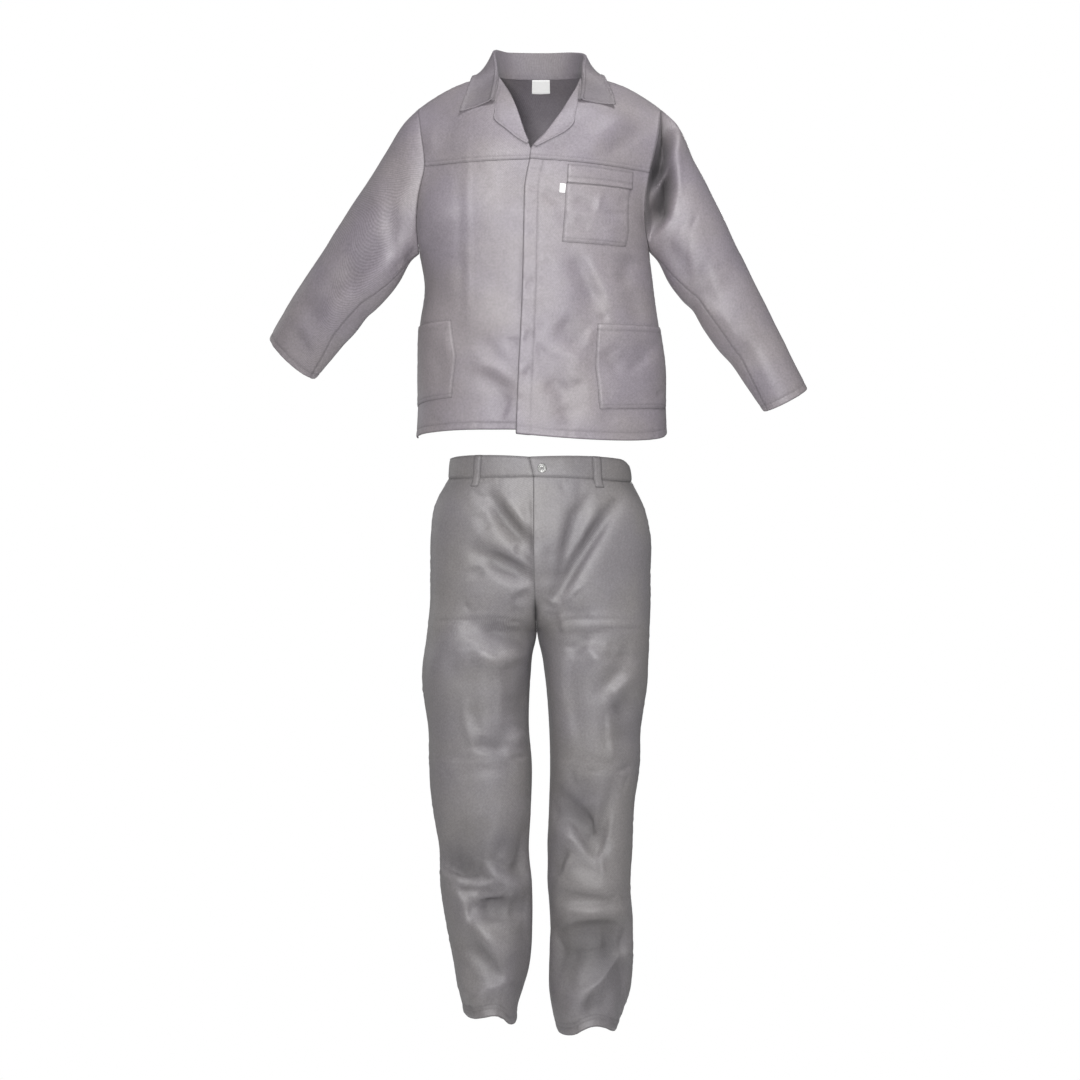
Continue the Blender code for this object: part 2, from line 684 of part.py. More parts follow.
# A piece laid on another: its points are the other's own points, read between them where needed
def laid_on(name, base, rows, columns, lift, wall, row_list=None):
    def stations(first, last):
        lines = range(math.ceil(first), math.floor(last) + 1)
        middle = [i for i in lines if first + LINE_MARGIN < i < last - LINE_MARGIN]
        return [first] + middle + [last]

    def read(field, row, column):
        r = min(int(row), field.shape[0] - 2)
        c = min(int(column), field.shape[1] - 2)
        low = field[r, c] + (field[r, c + 1] - field[r, c]) * (column - c)
        high = field[r + 1, c] + (field[r + 1, c + 1] - field[r + 1, c]) * (column - c)
        return low + (high - low) * (row - r)

    row_list = row_list or stations(*rows)
    column_list = stations(*columns)
    grid = np.array([[read(base.grid, r, c) for c in column_list] for r in row_list])
    piece = Piece(name, grid, base.flip, wall=wall, lift=lift + wall)
    piece.normals = np.array([[read(base.normals, r, c) for c in column_list] for r in row_list])
    piece.own = np.array([[read(base.own, r, c) for c in column_list] for r in row_list])
    return piece


def row_index(heights, height):
    return float(np.interp(height, heights, range(len(heights))))


# The point of a front that shows at this x and z, moved out from the cloth
def on_front(side, x, z, lift):
    share, height = 0.3, z
    step = 0.01
    for _ in range(SEARCH_STEPS):
        here = front_point(side, share, height)
        miss = np.array((x - here[0], z - here[2]))
        d_share = (front_point(side, share + step, height) - here)[[0, 2]] / step
        d_height = (front_point(side, share, height - step * 100) - here)[[0, 2]] / (-step * 100)
        change = np.linalg.solve(np.array((d_share, d_height)).T, miss)
        share = min(max(share + change[0], -0.1), 0.95)
        height = min(max(height + change[1], YOKE_SEAM), -0.5)
    across = front_point(side, share + step, height) - here
    up = front_point(side, share, height) - front_point(side, share, height - 1)
    normal = np.cross(across, up)
    normal /= np.linalg.norm(normal)
    if normal[1] > 0:
        normal = -normal
    return here + normal * lift


def make_jacket():
    pieces = []
    heights = JACKET_ROWS
    seam = heights.index(YOKE_SEAM)
    fronts = {}
    for side in ("left", "right"):
        flip = side == "right"
        columns = range(FRONT_COLUMN_COUNT)
        lower = front_grid(side, heights[:seam + 1], columns)
        upper = front_grid(side, heights[seam:], columns)
        first = PLACKET_COLUMN if side == "left" else 0
        fronts[side] = Piece("front_lower_" + side, lower, flip, cells=lambda r, c: c >= first)
        pieces += [fronts[side], Piece("front_yoke_" + side, upper, flip)]
        if side == "left":
            pieces.append(Piece("placket", lower, flip, wall=PLACKET_WALL, cells=lambda r, c: c < first))
    halves = {}
    for side in ("left", "right"):
        neck = [neck_share(x) for x in NECK_COLUMNS[side]]
        shoulder = [column_share(side, c, 0) for c in range(1, FRONT_COLUMN_COUNT)]
        shares = neck + [NECK_SHARE + (1 - NECK_SHARE) * s for s in shoulder]
        halves[side] = np.array([[back_point(side, s, h) for s in shares] for h in heights])
    back = Piece("back", np.concatenate((halves["left"][:, ::-1], halves["right"]), axis=1))
    pieces.append(back)
    armhole = heights.index(UNDERARM)
    for side in ("left", "right"):
        front_edge = [front_point(side, 1, h) for h in heights[armhole:]]
        back_edge = [back_point(side, 1, h) for h in heights[armhole:]]
        turns = [between(ARMHOLE_TURN[side], h)[0] for h in heights[armhole:]]
        start = np.array(front_edge[::-1] + back_edge[1:-1])
        ring_turns = turns[::-1] + [360 - t for t in turns[1:-1]]
        plain = sleeve_ring(side, ring_turns, 0)
        rings = []
        for share in SLEEVE_RINGS:
            hold = max(0.0, 1 - share / SLEEVE_BLEND) ** 2
            rings.append(sleeve_ring(side, ring_turns, share) + hold * (start - plain))
        first, last = (int(np.argmin(np.abs(np.array(ring_turns) - turn))) for turn in UNDER_SEAMS)
        for name, under in (("sleeve_", False), ("undersleeve_", True)):
            pieces.append(Piece(name + side, np.array(rings), flip=side == "right", ring=True,
                                cells=lambda r, c, a=first, b=last, u=under: (a <= c < b) == u))
    pieces.append(make_collar())
    share_normals(pieces)
    pieces += [make_lapel(side) for side in ("left", "right")]
    for name, (side, rows, columns, layer) in POCKETS.items():
        rows = [row_index(heights, h) for h in rows]
        lift = TRIM_LIFT + layer * (TRIM_THICKNESS + GAP)
        pieces.append(laid_on(name, fronts[side], rows, columns, lift, TRIM_THICKNESS))
    side, rows, columns = SIDE_TAB
    rows = [row_index(heights, h) for h in rows]
    tab = laid_on("side_tab", fronts[side], rows, columns, GAP, TRIM_THICKNESS)
    label = make_label(back)
    return pieces, [tab, label]


def make_collar():
    def lifted(side, x, y, z):
        if y is None:
            return on_front(side, x, z, COLLAR_LIFT)
        return np.array((x, y, z), dtype=float)

    stations = [[lifted("right", *p) for p in row] for row in COLLAR_ENDS["right"]]
    neck = [shoulder_and_neck("right", neck_share(x)) for x in NECK_COLUMNS["right"][::-1]]
    neck += [shoulder_and_neck("left", neck_share(x)) for x in NECK_COLUMNS["left"]]
    stations += [[seam, *np.array(row, dtype=float)] for seam, row in zip(neck, COLLAR_BACK)]
    stations += [[lifted("left", *p) for p in row] for row in COLLAR_ENDS["left"][::-1]]
    rows = []
    for seam, roll, edge in stations:
        out = edge - seam
        out[2] = 0
        out /= np.linalg.norm(out)
        up = np.array((0, 0, 1.0))
        inside = roll - out * COLLAR_FOLD
        outside = roll + out * COLLAR_FOLD
        rows.append([seam, (2 * seam + inside) / 3, (seam + 2 * inside) / 3, inside, roll + up * COLLAR_FOLD,
                     outside, (2 * outside + edge) / 3, (outside + 2 * edge) / 3, edge])
    return Piece("collar", np.array(rows))


def make_lapel(side):
    rows = []
    for roll, edge in LAPEL[side]:
        roll, edge = np.array(roll, float), np.array(edge, float)
        rows.append([on_front(side, *(roll + (edge - roll) * s), LAPEL_LIFT + WALL) for s in LAPEL_COLUMNS])
    return Piece("lapel_" + side, np.array(rows), flip=side == "right")


def make_label(back):
    middle = back.grid.shape[1] // 2
    last = len(JACKET_ROWS) - 1
    rows = [last - row for row in LABEL_ROWS]
    return laid_on("neck_label", back, rows, (middle - 1, middle), -WALL - GAP - LABEL_WALL, LABEL_WALL)


def make_trousers():
    pieces = []
    for side in ("left", "right"):
        for back in (False, True):
            shares = BACK_SHARES if back else FRONT_SHARES
            grid = np.array([[leg_point(side, s, h, back) for s in shares] for h in LEG_ROWS])
            flip = (side == "right") != back
            name = ("trousers_back_" if back else "trousers_front_") + side
            fly = side == "left" and not back
            row = LEG_ROWS.index(FLY_ROW)
            cells = (lambda r, c: not (r >= row and c < FLY_COLUMN)) if fly else None
            pieces.append(Piece(name, grid, flip, cells=cells))
            if fly:
                pieces.append(Piece("fly", grid, flip, wall=FLY_WALL,
                                    cells=lambda r, c: r >= row and c < FLY_COLUMN))
    band, grids = make_band()
    share_normals(pieces + band)
    return pieces + band + make_loops(pieces, grids)


# The band over a trouser panel: its lower row is the panel's own top row
def band_grid(side, back, columns):
    rows = []
    for share in (0, 0.5, 1):
        row = []
        for column in columns:
            point = leg_point(side, column, LEG_ROWS[-1], back)
            inward = np.array((point[0], point[1], 0.0)) / np.linalg.norm(point[:2])
            rise = BAND_HEIGHT + BAND_RISE * math.sin(math.pi * column)
            point = point - inward * BAND_LEAN * share + (0, 0, rise * share)
            if not back:
                point[0] += BAND_SLANT * share * max(0, 1 - column / FRONT_SHARES[2])
            row.append(point)
        rows.append(row)
    return np.array(rows)


def make_band():
    grids = {}
    pieces = []
    for side in ("left", "right"):
        grid = band_grid(side, False, FRONT_SHARES)
        grids["trousers_front_" + side] = grid
        pieces.append(Piece("waistband_" + side, grid, flip=side == "right"))
        grids["trousers_back_" + side] = band_grid(side, True, BACK_SHARES)
    halves = (grids["trousers_back_left"][:, ::-1], grids["trousers_back_right"][:, 1:])
    pieces.append(Piece("waistband_back", np.concatenate(halves, axis=1)))
    return pieces, grids


def make_loops(trousers, grids):
    panels = {piece.name: piece for piece in trousers}
    loops = []
    for name, (panel, column) in BELT_LOOPS.items():
        below = panels[panel]
        grid = np.concatenate((below.grid[-2:], grids[panel][1:]))
        base = Piece(name, grid, below.flip)
        loops.append(make_loop(name, base, (column - LOOP_HALF_COLUMN, column + LOOP_HALF_COLUMN)))
    halves = [panels["trousers_back_left"].grid[-2:, ::-1], panels["trousers_back_right"].grid[-2:, 1:]]
    below = np.concatenate(halves, axis=1)
    halves = [grids["trousers_back_left"][1:, ::-1], grids["trousers_back_right"][1:, 1:]]
    grid = np.concatenate((below, np.concatenate(halves, axis=1)))
    middle = len(BACK_SHARES) - 1
    base = Piece("belt_loop_back", grid)
    loops.append(make_loop("belt_loop_back", base, (middle - LOOP_HALF_COLUMN, middle + LOOP_HALF_COLUMN)))
    return loops


def make_loop(name, base, columns):
    rows = [row for row, _ in LOOP_ROWS]
    loop = laid_on(name, base, (rows[0], rows[-1]), columns, 0, LOOP_THICKNESS, rows)
    for row, (_, off) in enumerate(LOOP_ROWS):
        loop.grid[row] += loop.own[row] * off
    return loop


def make_button(material):
    seat = band_grid("left", False, [BUTTON_SHARE])[1, 0]
    points = []
    for radius, height in BUTTON_PROFILE[1:-1]:
        for step in range(BUTTON_STEPS):
            angle = 2 * math.pi * step / BUTTON_STEPS
            points.append((BUTTON_PLACE[0] + radius * math.cos(angle), seat[1] - BUTTON_LIFT - height,
                           BUTTON_PLACE[1] + radius * math.sin(angle)))
    rings = len(BUTTON_PROFILE) - 2
    top, foot = len(points), len(points) + 1
    for _, height in (BUTTON_PROFILE[0], BUTTON_PROFILE[-1]):
        points.append((BUTTON_PLACE[0], seat[1] - BUTTON_LIFT - height, BUTTON_PLACE[1]))
    faces = []
    for step in range(BUTTON_STEPS):
        after = (step + 1) % BUTTON_STEPS
        faces.append((top, step, after))
        for ring in range(rings - 1):
            a, b = ring * BUTTON_STEPS + step, ring * BUTTON_STEPS + after
            faces.append((b, a, a + BUTTON_STEPS, b + BUTTON_STEPS))
        base = (rings - 1) * BUTTON_STEPS
        faces.append((foot, base + after, base + step))
    add_object("button", points, faces, material)


def main():
    for item in list(bpy.data.objects):
        bpy.data.objects.remove(item, do_unlink=True)
    jacket_cloth = make_material("jacket_cloth", CLOTH_COLOURS["jacket"], CLOTH_ROUGHNESS)
    trouser_cloth = make_material("trouser_cloth", CLOTH_COLOURS["trousers"], CLOTH_ROUGHNESS)
    label_cloth = make_material("label_cloth", LABEL_COLOUR, LABEL_ROUGHNESS)
    metal = make_material("button_metal", METAL_COLOUR, METAL_ROUGHNESS, 1.0)
    jacket, trim = make_jacket()
    for piece in jacket:
        solid(piece, jacket_cloth)
    for piece in trim:
        solid(piece, label_cloth)
    for piece in make_trousers():
        solid(piece, trouser_cloth)
    make_button(metal)


main()
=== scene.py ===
# Grey twill work jacket above its trousers, hollow, in the form they take on.
# Sizes are in millimetres up to the meshes: x to the wearer's left, y to the back, z up.
import math
from types import SimpleNamespace

import bpy
import numpy as np
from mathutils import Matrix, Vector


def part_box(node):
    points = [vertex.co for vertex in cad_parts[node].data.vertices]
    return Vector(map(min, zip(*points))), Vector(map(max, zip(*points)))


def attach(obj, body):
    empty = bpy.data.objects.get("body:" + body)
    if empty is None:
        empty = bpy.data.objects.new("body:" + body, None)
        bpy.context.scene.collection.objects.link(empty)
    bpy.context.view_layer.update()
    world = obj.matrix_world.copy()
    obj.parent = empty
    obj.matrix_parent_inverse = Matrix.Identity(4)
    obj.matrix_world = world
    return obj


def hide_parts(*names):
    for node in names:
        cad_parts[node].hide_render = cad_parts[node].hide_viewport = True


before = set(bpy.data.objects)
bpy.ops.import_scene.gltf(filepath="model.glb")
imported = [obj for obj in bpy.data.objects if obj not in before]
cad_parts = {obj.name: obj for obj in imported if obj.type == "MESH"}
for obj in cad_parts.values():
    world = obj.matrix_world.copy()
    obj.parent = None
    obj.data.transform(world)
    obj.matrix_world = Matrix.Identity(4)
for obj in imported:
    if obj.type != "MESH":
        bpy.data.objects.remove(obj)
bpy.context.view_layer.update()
print("frame loaded")

yokeSeam, underarm, jacketHem = -158, -318, -690    # heights
waist, crotch, trouserHem = -778, -1076, -1829

cloth = {
    "cell": 4.2,             # size of a mesh cell on the sides that the photo shows
    "backCell": 6.0,
    "pocketCell": 3.8,
    "wall": 1.2,
    "inset": 0.12,           # each edge stops this far from its seam
    "edgeLines": (0.7, 1.7, 3.2, 5.2, 7.6),    # extra mesh lines this far in from an edge
    "waves": ((170, 1.2), (70, 0.38), (26, 0.07)),    # wavelength and height of the cloth's unevenness
    "stitchShade": 0.18,     # how much painted shade lies in the groove of a stitch line
    "paler": 0.10,           # how much paler beside worn edges
    "foldShadeAndLight": 0.013,           # painted light on a ridge and painted shade in a trough: how much paler and darker for each mm
    "insideShade": -0.3,     # painted shade: how much darker the inner faces are drawn
    "foldTaper": 0.35,       # how much shallower a large fold is at its ends
    "foldEase": 45,          # large folds fade out this far from the sides
    "soften": (0.3, 75),     # reach of the smoothing below an armhole or the crotch: share of the row, height
}

# What an edge does unless its panel says otherwise: puckers, their size along it and reach from it, how far it laps
# over, how much it rolls, how much painted shade lies along it, its stitch lines, their grooves, and how worn it is
plainEdge = {
    "pucker": 0.35, "size": 15, "seed": 3, "spread": 11, "lap": 0, "lapReach": 14, "roll": 0.5, "shade": 0.3,
    "stitch": (), "groove": 0.55, "worn": 0,
}

# Jacket fronts: height of the row, edge x y z, pull of the row's curve at the edge x y,
# pull at the side x y, rise of the row between its ends
frontRows = {
    "left": (
        (-690, -46, -129, -691, 172, -3, 0, -80, -18), (-646, -45, -129.5, -646, 172, -3, 0, -80, 0),
        (-560, -41, -130, -560, 168, -3, 0, -82, 0), (-476, -36.5, -131, -476, 160, -3, 0, -82, 0),
        (-400, -33.7, -131.5, -400, 150, -3, 0, -83, 0), (-318, -31.8, -132, -318, 143, -3, 0, -84, 0),
        (-262, -30.5, -132, -262, 140, -3, -14, -66, 0), (-210, -29, -132, -210, 136, -3, -42, -48, 0),
        (-158, -19.5, -131.5, -158, 120, -5, -55, -36, 0), (-142, -17.5, -130, -142, 115, -6, -57, -34, 0),
        (-100, 18.5, -117, -100, 78, -8, -60, -32, 2), (-60, 46.8, -90, -60, 62, -8, -60, -22, 6),
        (-25, 66.3, -52, -25, 56, -5, -57, -12, 13), (0, 80, -8, 6, 52, 5, -52, -5, 20),
    ),
    "right": (
        (-690, -18, -124.9, -684, -134, -3, 0, -78, 8), (-620, -17, -125.3, -618, -132, -3, 0, -78, 8),
        (-540, -13, -125.8, -540, -134, -3, 0, -80, 8), (-467, -8.5, -127.3, -467, -136, -3, 0, -80, 6),
        (-395, -5.7, -127.8, -395, -134, -3, 0, -82, 3), (-318, -3.8, -128.3, -318, -139, -3, 0, -84, 0),
        (-262, -2.5, -128.3, -262, -140, -3, 14, -66, 0), (-210, -1, -128.3, -210, -130, -3, 42, -48, 0),
        (-158, -10.7, -127.5, -159, -120, -5, 55, -36, 0), (-142, -17.5, -126, -142, -115, -6, 57, -34, 0),
        (-100, -31.8, -114, -100, -84, -8, 60, -32, 2), (-60, -45, -88, -60, -68, -8, 60, -22, 6),
        (-25, -60, -50, -25, -58, -5, 57, -12, 13), (0, -80, -8, 6, -52, 5, 52, -5, 20),
    ),
}

# Jacket side seams: height of the row, then x y z
sideSeam = {
    "left": (
        (-690, 248, 6, -690), (-646, 246, 6, -640), (-560, 242, 5, -558), (-476, 231, 4, -484), (-400, 220, 3, -412),
        (-318, 212.5, 3, -334),
    ),
    "right": (
        (-690, -241, 6, -698), (-620, -237, 6, -638), (-540, -236, 5, -556), (-467, -234.5, 4, -484),
        (-395, -225, 3, -408), (-318, -235, 3, -339),
    ),
}

# Armholes: z of the shoulder end, z of the underarm, y of each, reach to the front and the back
armhole = {
    "left": (-57, -334, 8, 3, 60, 66),
    "right": (-57, -339, 8, 3, 60, 66),
}

# Armhole seam as it runs down the body: z, then x
armholeLine = {
    "left": ((-334, 212.5), (-292, 205), (-245, 204), (-187, 212), (-107, 229), (-57, 236)),
    "right": ((-339, -235), (-292, -240), (-225, -236), (-172, -225), (-105, -232), (-57, -238.5)),
}

# Where each row meets the armhole: height, then degrees round from the shoulder end
armholeTurn = {
    "left": ((-318, 180), (-262, 131), (-210, 104), (-158, 84), (-142, 77), (-100, 56), (-60, 36),
             (-25, 17), (0, 0)),
    "right": ((-318, 180), (-262, 131), (-210, 103), (-158, 78), (-142, 70), (-100, 52), (-60, 34),
              (-25, 16), (0, 0)),
}

# Jacket back: height of the row, y and z on the middle line, pull at the side x y
backRows = (
    (-690, 124, -682, 0, 78), (-560, 128, -562, 0, 82), (-400, 134, -402, 0, 86), (-318, 138, -320, 0, 88),
    (-262, 140, -263, 16, 74), (-210, 141, -211, 44, 56), (-158, 139, -158, 58, 44), (-100, 129, -101, 62, 38),
    (-60, 115, -60, 62, 28), (-25, 94, -24, 58, 16), (0, 70, 7, 52, 6),
)

# Sleeves: share of the length, outer edge x z, inner edge x z, half depth, middle y, reach of the front
sleeveRows = {
    "left": (
        (0, 236, -57, 212.5, -334, 62, 5, 0), (0.08, 265, -82, 227, -350, 62, 5, 0),
        (0.25, 304, -164, 250, -392, 62, 6, 0), (0.45, 360, -272, 290, -448, 58, 8, 0),
        (0.65, 423, -400, 337, -515, 52, 12, 2), (0.85, 484, -526, 392, -581, 44, 16, 4),
        (1, 522.6, -600, 437, -645, 37, 18, 6),
    ),
    "right": (
        (0, -238.5, -57, -235, -339, 62, 5, 0), (0.08, -262, -80, -251, -354, 62, 8, 0),
        (0.25, -320, -170, -279, -400, 63, 20, 0), (0.45, -388, -270, -322, -447, 59, 48, 2),
        (0.65, -451, -368, -365, -494, 53, 80, 6), (0.85, -505, -449, -407, -538, 45, 112, 10),
        (1, -533, -497, -442, -578, 37, 134, 14),
    ),
}

# Folds of the sleeves: side, share of the length, degrees round, degrees and share each way, depth
sleeveFolds = (
    ("left", 0.2, 95, 60, 0.06, 5), ("left", 0.47, 150, 70, 0.05, 5), ("left", 0.56, 60, 60, 0.05, 4),
    ("left", 0.78, 120, 70, 0.05, 4), ("left", 0.5, 250, 70, 0.05, 5), ("right", 0.22, 100, 60, 0.06, 5),
    ("right", 0.5, 140, 70, 0.05, 4), ("right", 0.74, 80, 70, 0.05, 4), ("right", 0.55, 250, 70, 0.05, 5),
)

# Collar from the notch to the middle of the back and on: seam x y z, roll x y z, edge x y z
collarEnds = {
    "left": (
        ((74, None, -47), (80, None, -48.5), (143, None, -56)),
        ((77, None, -27), (83, None, -28.5), (141, None, -44)),
        ((81, None, -8), (86, -24, 3), (137, None, -29)),
    ),
    "right": (
        ((-88, None, -49), (-94, None, -50.5), (-153, None, -69)),
        ((-84, None, -28), (-90, None, -30), (-149, None, -52)),
        ((-80, None, -7), (-86, -23, 5), (-142, None, -36)),
    ),
}

collarBack = (
    ((-86, -8, 27), (-133, -10, 3)), ((-90, 20, 54), (-126, 26, 5)), ((-62, 66, 55), (-90, 88, -2)),
    ((-20, 78, 55), (-27, 104, -8)), ((24, 77, 55), (31, 104, -8)), ((65, 62, 54.5), (94, 84, -2)),
    ((88, 20, 46), (121, 26, 6)), ((85, -8, 26), (126, -10, 4)),
)

# Lapels: roll line x z, outer edge x z, from the lower tip to the collar
lapelRows = {
    "left": (
        ((-13, -135), (-7, -138)), ((2, -121), (16, -126)), ((20, -99), (46, -110)), ((39, -74), (64, -94)),
        ((58, -43), (68, -74)), ((76, -12), (74, -49)),
    ),
    "right": (
        ((-22, -129), (-26, -132)), ((-29, -112), (-44, -121)), ((-36, -91), (-66, -103)),
        ((-44, -66), (-87, -86)), ((-56, -38), (-88, -70)), ((-76, -11), (-87, -52)),
    ),
}

# Columns of the jacket fronts, which the pockets follow: height, then each column's share of the row
frontColumns = {
    "left": (
        (-690, 0, 0.052, 0.19, 0.355, 0.48, 0.61, 0.74, 0.87, 1),
        (-646, 0, 0.053, 0.19, 0.355, 0.48, 0.61, 0.74, 0.87, 1),
        (-560, 0, 0.055, 0.19, 0.335, 0.47, 0.6, 0.73, 0.865, 1),
        (-476, 0, 0.057, 0.195, 0.361, 0.48, 0.6, 0.73, 0.865, 1),
        (-318, 0, 0.058, 0.184, 0.325, 0.46, 0.597, 0.73, 0.865, 1),
        (-204, 0, 0.06, 0.223, 0.4, 0.59, 0.786, 0.86, 0.93, 1),
        (-158, 0, 0.062, 0.223, 0.4, 0.59, 0.79, 0.865, 0.935, 1),
    ),
    "right": (
        (-690, 0, 0.12, 0.25, 0.37, 0.48, 0.61, 0.74, 0.87, 1),
        (-620, 0, 0.12, 0.25, 0.37, 0.475, 0.61, 0.74, 0.87, 1),
        (-540, 0, 0.12, 0.24, 0.35, 0.45, 0.6, 0.74, 0.87, 1),
        (-467, 0, 0.12, 0.25, 0.38, 0.507, 0.63, 0.75, 0.87, 1),
        (-158, 0, 0.12, 0.25, 0.38, 0.5, 0.62, 0.75, 0.88, 1),
    ),
}

# Trousers, edge at the side seam and edge at the inseam: height, outer x, inner x, then how far each
# of the two places stands above that height
legEdges = {
    "left": (
        (-778, 178, -12, -6, 3), (-829, 201, -12, 0, 0), (-887, 216, -12, 0, 0), (-965, 216, -11, 0, 0),
        (-1043, 216, -8, 0, 0), (-1076, 214, -6, 0, 0), (-1121, 211, 4, 0, 0), (-1180, 209, 11.7, 0, 0),
        (-1258, 197, 17.5, 0, 0), (-1336, 194, 19.5, 0, 0), (-1414, 184, 17.5, 0, 0), (-1492, 181, 15.6, 0, 0),
        (-1570, 176.5, 15.6, 0, 0), (-1648, 181, 21.5, -2, -4), (-1726, 181, 17.5, -10, -12),
        (-1765, 175.5, 19.5, -13, -17), (-1804, 161, 27, -14, -16), (-1829, 152, 33, -14, -17),
    ),
    "right": (
        (-778, -179, -12, 0, 3), (-829, -205, -12, 0, 0), (-887, -212.5, -12, 0, 0), (-965, -214.5, -11, 0, 0),
        (-1043, -214.5, -8, 0, 0), (-1076, -218, -6, 0, 0), (-1121, -228, -15.6, 0, 0), (-1180, -230, -19.5, 0, 0),
        (-1258, -218, -21.5, 0, 0), (-1336, -216.5, -15.6, 0, 0), (-1414, -208.7, -17.5, 0, 0),
        (-1492, -197, -23, 0, 0), (-1570, -195, -15.6, 0, 0), (-1648, -183, -15.6, 0, 0), (-1726, -168, -21.5, 0, -2),
        (-1765, -162, -33, 1, -3), (-1804, -154, -45, 10, 0), (-1829, -150, -47, 14, 0),
    ),
}

# Middle seam above the crotch: height, x, y and z at the front, y and z at the back
centreSeam = (
    (-1076, -6, 4, -1076, 4, -1076), (-1060, -7, -30, -1064, 44, -1066), (-1043, -8, -62, -1045, 74, -1048),
    (-1024, -9, -84, -1024, 97, -1025), (-1005, -10, -97, -1005, 113, -1005), (-965, -11, -111, -965, 128, -965),
    (-887, -12, -117, -887, 132, -887), (-829, -12, -112, -829, 121, -829), (-778, -12, -104, -775, 107, -775),
)

# Fullness of the trousers' rows: height, pull at the inner edge x y, pull at the side y, front then back
legPulls = (
    (-1829, 0, -120, -120, 0, 120, 120), (-1765, 0, -117, -117, 0, 117, 117), (-1648, 0, -110, -110, 0, 112, 112),
    (-1492, 0, -104, -104, 0, 108, 108), (-1414, 0, -104, -104, 0, 110, 110), (-1336, 0, -112, -112, 0, 118, 118),
    (-1258, 0, -124, -124, 0, 130, 130), (-1180, 0, -134, -134, 0, 142, 142), (-1121, 4, -138, -140, 4, 146, 148),
    (-1076, 26, -128, -132, 32, 122, 136), (-1043, 52, -62, -104, 60, 56, 118), (-1005, 84, -26, -86, 84, 26, 96),
    (-965, 104, -8, -78, 104, 8, 84), (-887, 112, 0, -72, 114, 0, 80), (-829, 108, 0, -68, 108, 0, 74),
    (-778, 95, 0, -62, 96, 0, 66),
)

# Large folds: start x z, end x z, half width, depth (negative stands out), front or back
bigFolds = (
    (-150, -520, -205, -395, 30, 4, "front"), (60, -640, 20, -560, 26, 5, "front"),
    (-90, -670, -60, -600, 28, 5, "front"), (95, -430, 120, -560, 28, 5, "front"),
    (-95, -819, -30, -905, 18, 11, "front"), (-122, -922, -30, -965, 18, 10, "front"),
    (90, -825, 45, -959, 18, 10, "front"), (148, -831, 35, -1005, 17, 12, "front"),
    (-129, -1066, -40, -1094, 20, 11, "front"), (-110, -1128, -30, -1118, 16, -7, "front"),
    (-60, -1150, -70, -1290, 22, 7, "front"), (60, -1085, 170, -1100, 20, 7, "front"),
    (120, -1190, 175, -1130, 20, 9, "front"), (-150, -1336, -60, -1338, 14, 5, "front"),
    (60, -1338, 140, -1334, 14, 5, "front"), (-190, -1540, -130, -1556, 15, -8, "front"),
    (-150, -1577, -80, -1574, 15, 8, "front"), (-130, -1612, -48, -1616, 18, 10, "front"),
    (-120, -1650, -60, -1752, 16, -8, "front"), (145, -1368, 118, -1490, 14, 7, "front"),
    (28, -1384, 112, -1496, 16, 7, "front"), (45, -1594, 168, -1598, 14, 8, "front"),
    (40, -1664, 150, -1655, 18, 10, "front"), (170, -1700, 60, -1812, 16, -8, "front"),
    (-70, -1100, -170, -1130, 22, 8, "back"), (70, -1100, 165, -1135, 22, 8, "back"),
    (-60, -1390, -190, -1360, 18, 9, "back"), (50, -1370, 170, -1395, 18, 9, "back"),
    (-60, -1470, -180, -1440, 18, -8, "back"), (50, -1450, 165, -1480, 18, -8, "back"),
    (-60, -1620, -160, -1600, 18, 9, "back"), (45, -1640, 160, -1610, 18, 9, "back"),
    (-60, -900, -150, -960, 26, 6, "back"), (50, -900, 150, -960, 26, 6, "back"),
    (-120, -560, -60, -420, 30, 6, "back"), (120, -580, 70, -430, 30, 6, "back"),
)

